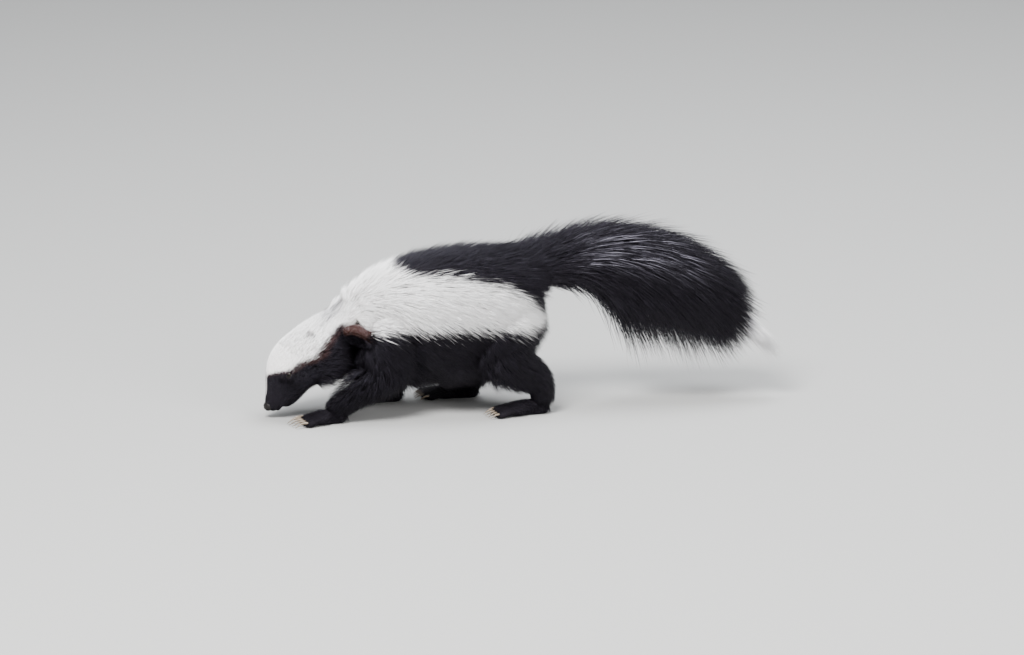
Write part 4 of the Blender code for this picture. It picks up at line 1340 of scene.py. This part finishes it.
# %% Claws
CLAW_THICK = {"front": 1.35, "hind": 1.2}
CLAW_ARCH = 0.15
CLAW_TAPER = 0.86
CLAW_SHORTEST = 4.0
CLAW_TIP_HEIGHT = 0.9


def claw_rows(root, tip, size):
    """Middle line and radius of a claw that leaves the toe forward and turns down to the floor."""
    way = tip - root
    rows = []
    for share in np.linspace(0, 1, 9):
        arch = math.sin(share * math.pi) * np.linalg.norm(way) * CLAW_ARCH
        place = root + way * share + np.array([0, 0, arch])
        rows.append((*place, size * (1 - CLAW_TAPER * share**1.3)))
    return rows


claws = []
for key in FEET:
    _, ahead, left = foot_axes(key)
    size = CLAW_THICK[key.split("_")[0]]
    for k, (_, tip) in enumerate(toe_lines(key)):
        node = f"{key}_claw_{k + 1}"
        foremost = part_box(node)[1][0] / MM
        way = unit(ahead + left * (k - 2) * 0.05)
        base = tip + way * 1.2 + (0, 0, 0.6)
        reach = abs(foremost - base[0]) - 0.4
        end = base + way * max(CLAW_SHORTEST, reach) + (0, 0, -base[2] + CLAW_TIP_HEIGHT)
        made = tube(f"nail_{node}", claw_rows(base, end, size), sides=12, steps=3)
        smooth(made)
        claws.append((made, node))
print("claws:", len(claws))

# %% [markdown]
# Whiskers are short, black and stiff on a skunk, in rows over the muzzle with a few on brow and cheek.
# They are tufts too, only thinner and with more rings, since each stands alone and has to bend evenly.

# %% Whiskers
# A whisker row is the distance behind the nose, out to the side and over the axis, then the length.
WHISKER_ROWS = [
    (13, 7.6, -2.0, 17),
    (16, 8.4, -4.5, 21),
    (19, 9.0, -1.0, 24),
    (22, 9.8, -4.0, 22),
    (25, 10.4, -7.0, 18),
    (41, 14, 15, 13),
    (44, 15, 15, 11),
    (55, 24, -9, 12),
]
WHISKER_WIDTH = 0.34
WHISKER_CLEAR = 0.8


def whiskers():
    """Thin tapered hairs with five rings each."""
    roots, elbows, tips = [], [], []
    for sign in (-1, 1):
        for along, left, over, long in WHISKER_ROWS:
            for extra in (0.0, 1.5):
                root = head_point(along + extra, sign * left, over - extra)
                way = unit(HEAD_SIDE * sign * 0.85 + HEAD_BACK * (0.42 + 0.1 * extra) - HEAD_UP * 0.12)
                tip = root + way * long * rng.uniform(0.8, 1.1)
                roots.append(root - way * 3.0)
                elbows.append((root + tip) * 0.5 + HEAD_UP * 1.2)
                tips.append(tip)
    roots, elbows, tips = (np.array(rows) for rows in (roots, elbows, tips))
    tips[:, 2] = np.maximum(tips[:, 2], WHISKER_CLEAR)
    elbows[:, 2] = np.maximum(elbows[:, 2], WHISKER_CLEAR)
    tone = np.tile(BLACK, (len(roots), 1))
    face = np.tile(HEAD_UP, (len(roots), 1))
    wide = np.full(len(roots), WHISKER_WIDTH)
    patch = unwrap(roots, HEAD_SKIN)
    return tufts("whiskers", roots, elbows, tips, face, wide, (tone, tone, tone), patch, 5)


coats.append(whiskers())

# %% [markdown]
# Between the tufts a little skin shows, so it carries the same markings as the coat over it. It reads
# them from the same rule, with slightly rough edges, and no gap between hairs shows a wrong colour.
# Tail and feet are black all over, and the ears are dull rust.

# %% Colour the skin
SKIN_EDGE_MIX = 1.5
skin_mix = rng.normal(scale=SKIN_EDGE_MIX, size=len(skin_places))
skin_white = whiteness(skin_places, skin_mix)[:, None]
skin_tone = SKIN_BLACK * (1 - skin_white) + SKIN_WHITE * skin_white
skin_tone[skin_region == TAIL_SKIN] = SKIN_BLACK
skin_tone[skin_region == PAW_SKIN] = SKIN_BLACK
skin_tone[skin_region == EAR_SKIN] = RUST * 0.5
paint_points(skin, skin_tone)
smooth(skin)
print("skin points painted:", len(skin_tone))

# %% [markdown]
# Hair carries its colour in the mesh, so one material serves black, white and rust alike. Its shine has
# a faint cool tint, as black guard hair has under an open sky. The skin below is matt, with the fine
# grain of close underfur as bump. Horn and nose have plain colours with a grain of their own.

# %% Materials
COOL_SHINE = (0.82, 0.78, 1.0)
NOSE_TONE = (0.008, 0.0065, 0.0065)
HORN_TONE = (0.16, 0.125, 0.09)


def material(name, roughness, specular=0.5, tint=(1, 1, 1), coat=0.0, colour=None, grain=None):
    """A Principled material; without a colour it reads the mesh's own. Grain: scale, strength, depth."""
    made = bpy.data.materials.new(name)
    made.use_nodes = True
    nodes, links = made.node_tree.nodes, made.node_tree.links
    shader = nodes["Principled BSDF"]
    shader.inputs["Roughness"].default_value = roughness
    shader.inputs["Specular IOR Level"].default_value = specular
    shader.inputs["Specular Tint"].default_value = (*tint, 1.0)
    shader.inputs["Coat Weight"].default_value = coat
    shader.inputs["Coat Roughness"].default_value = 0.04
    if colour is None:
        reader = nodes.new("ShaderNodeVertexColor")
        reader.layer_name = "coat"
        links.new(reader.outputs["Color"], shader.inputs["Base Color"])
    else:
        shader.inputs["Base Color"].default_value = (*colour, 1.0)
    if grain is not None:
        place = nodes.new("ShaderNodeTexCoord")
        noise = nodes.new("ShaderNodeTexNoise")
        noise.inputs["Scale"].default_value = grain[0]
        noise.inputs["Detail"].default_value = 4.0
        bump = nodes.new("ShaderNodeBump")
        bump.inputs["Strength"].default_value = grain[1]
        bump.inputs["Distance"].default_value = grain[2]
        links.new(place.outputs["Object"], noise.inputs["Vector"])
        links.new(noise.outputs["Fac"], bump.inputs["Height"])
        links.new(bump.outputs["Normal"], shader.inputs["Normal"])
    return made


def dress(made, stuff):
    """One material for the whole piece."""
    made.data.materials.clear()
    made.data.materials.append(stuff)


hair_stuff = material("hair", 0.42, specular=0.26, tint=COOL_SHINE)
skin_stuff = material("underfur", 0.8, specular=0.12, tint=COOL_SHINE, grain=(900.0, 0.6, 0.0006))
eye_stuff = material("eye", 0.08, specular=0.16, coat=0.05)
nose_stuff = material("nose skin", 0.33, specular=0.22, colour=NOSE_TONE, grain=(1400.0, 0.8, 0.0004))
claw_stuff = material("claw horn", 0.35, specular=0.5, colour=HORN_TONE, grain=(500.0, 0.3, 0.0002))
print("materials:", hair_stuff.name, skin_stuff.name, eye_stuff.name, nose_stuff.name, claw_stuff.name)

# %% [markdown]
# Every piece gets its material and the body it rides on. This is also where the frame nodes that a piece
# takes the place of are hidden: the one skin stands for all the flesh, and each eye, the nose and each
# claw for a node of its own. The coats are extra and replace nothing.

# %% Dress the pieces and hide what they replace
for piece in coats:
    dress(piece, hair_stuff)
    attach(piece, "root")
dress(skin, skin_stuff)
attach(skin, "root")
limbs = [key + part for key in LEGS for part in ("_leg", "_paw")]
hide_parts("head", "neck", "torso", "tail", "ear_left", "ear_right", *limbs)
for word, eye in zip(EYES, eyes):
    dress(eye, eye_stuff)
    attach(eye, "root")
    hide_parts("eye_" + word)
dress(nose, nose_stuff)
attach(nose, "root")
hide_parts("nose")
for made, node in claws:
    dress(made, claw_stuff)
    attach(made, "root")
    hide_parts(node)
print("pieces dressed:", len(coats) + 1 + len(eyes) + 1 + len(claws))

# %% [markdown]
# A plain pale floor under big soft lamps, the way a museum's own record photograph is taken. The lamps
# are large, since small ones would give each hair a hard spark and the belly a black shadow.

# %% Floor and light
FLOOR_TONE = (0.34, 0.337, 0.328)
FLOOR_HALF = 8
SKY_TONE = (0.92, 0.95, 1.0, 1.0)
SKY_STRENGTH = 0.7
LOOK_AT = Vector((0.001, 0.0, 0.0707))
floor_mesh = bpy.data.meshes.new("floor")
floor_corners = [(x * FLOOR_HALF, y * FLOOR_HALF, 0) for x, y in ((-1, -1), (1, -1), (1, 1), (-1, 1))]
floor_mesh.from_pydata(floor_corners, [], [(0, 1, 2, 3)])
floor = link("floor", floor_mesh)
dress(floor, material("floor", 0.9, specular=0.1, colour=FLOOR_TONE))


def lamp(name, place, size, power, tone=(1, 1, 1)):
    """A square area light aimed at the animal."""
    made = bpy.data.lights.new(name, "AREA")
    made.size = size
    made.energy = power
    made.color = tone
    holder = link(name, made)
    holder.location = place
    holder.rotation_euler = (LOOK_AT - Vector(place)).to_track_quat("-Z", "Y").to_euler()


lamp("key", (0.9, 1.3, 2.0), 1.0, 168)
lamp("sky", (-0.6, -0.4, 2.4), 1.6, 116, (0.93, 0.96, 1.0))
lamp("fill", (-1.4, 2.2, 0.9), 1.6, 96)
world = bpy.data.worlds.new("studio")
world.use_nodes = True
backdrop = world.node_tree.nodes["Background"]
backdrop.inputs["Color"].default_value = SKY_TONE
backdrop.inputs["Strength"].default_value = SKY_STRENGTH
bpy.context.scene.world = world
print("lamps:", len(bpy.data.lights))

# %% [markdown]
# The camera looks as the photo does: at the animal's left side, from a little ahead of it and slightly
# above. It stands far off with a long lens, so near and far parts keep their true sizes.

# %% Camera
CAMERA_AZIMUTH = 168.0
CAMERA_HEIGHT = 13.0
CAMERA_DISTANCE = 6.0
CAMERA_LENS = 234.4
SENSOR_WIDTH = 36.0
camera_data = bpy.data.cameras.new("camera")
camera_data.lens = CAMERA_LENS
camera_data.sensor_width = SENSOR_WIDTH
camera = link("camera", camera_data)
azimuth, height = math.radians(CAMERA_AZIMUTH), math.radians(CAMERA_HEIGHT)
level = math.cos(height)
away = Vector((math.sin(azimuth) * level, -math.cos(azimuth) * level, math.sin(height)))
camera.location = LOOK_AT + away * CAMERA_DISTANCE
camera.rotation_euler = (-away).to_track_quat("-Z", "Y").to_euler()
bpy.context.scene.camera = camera
print("camera at:", [round(c, 2) for c in camera.location])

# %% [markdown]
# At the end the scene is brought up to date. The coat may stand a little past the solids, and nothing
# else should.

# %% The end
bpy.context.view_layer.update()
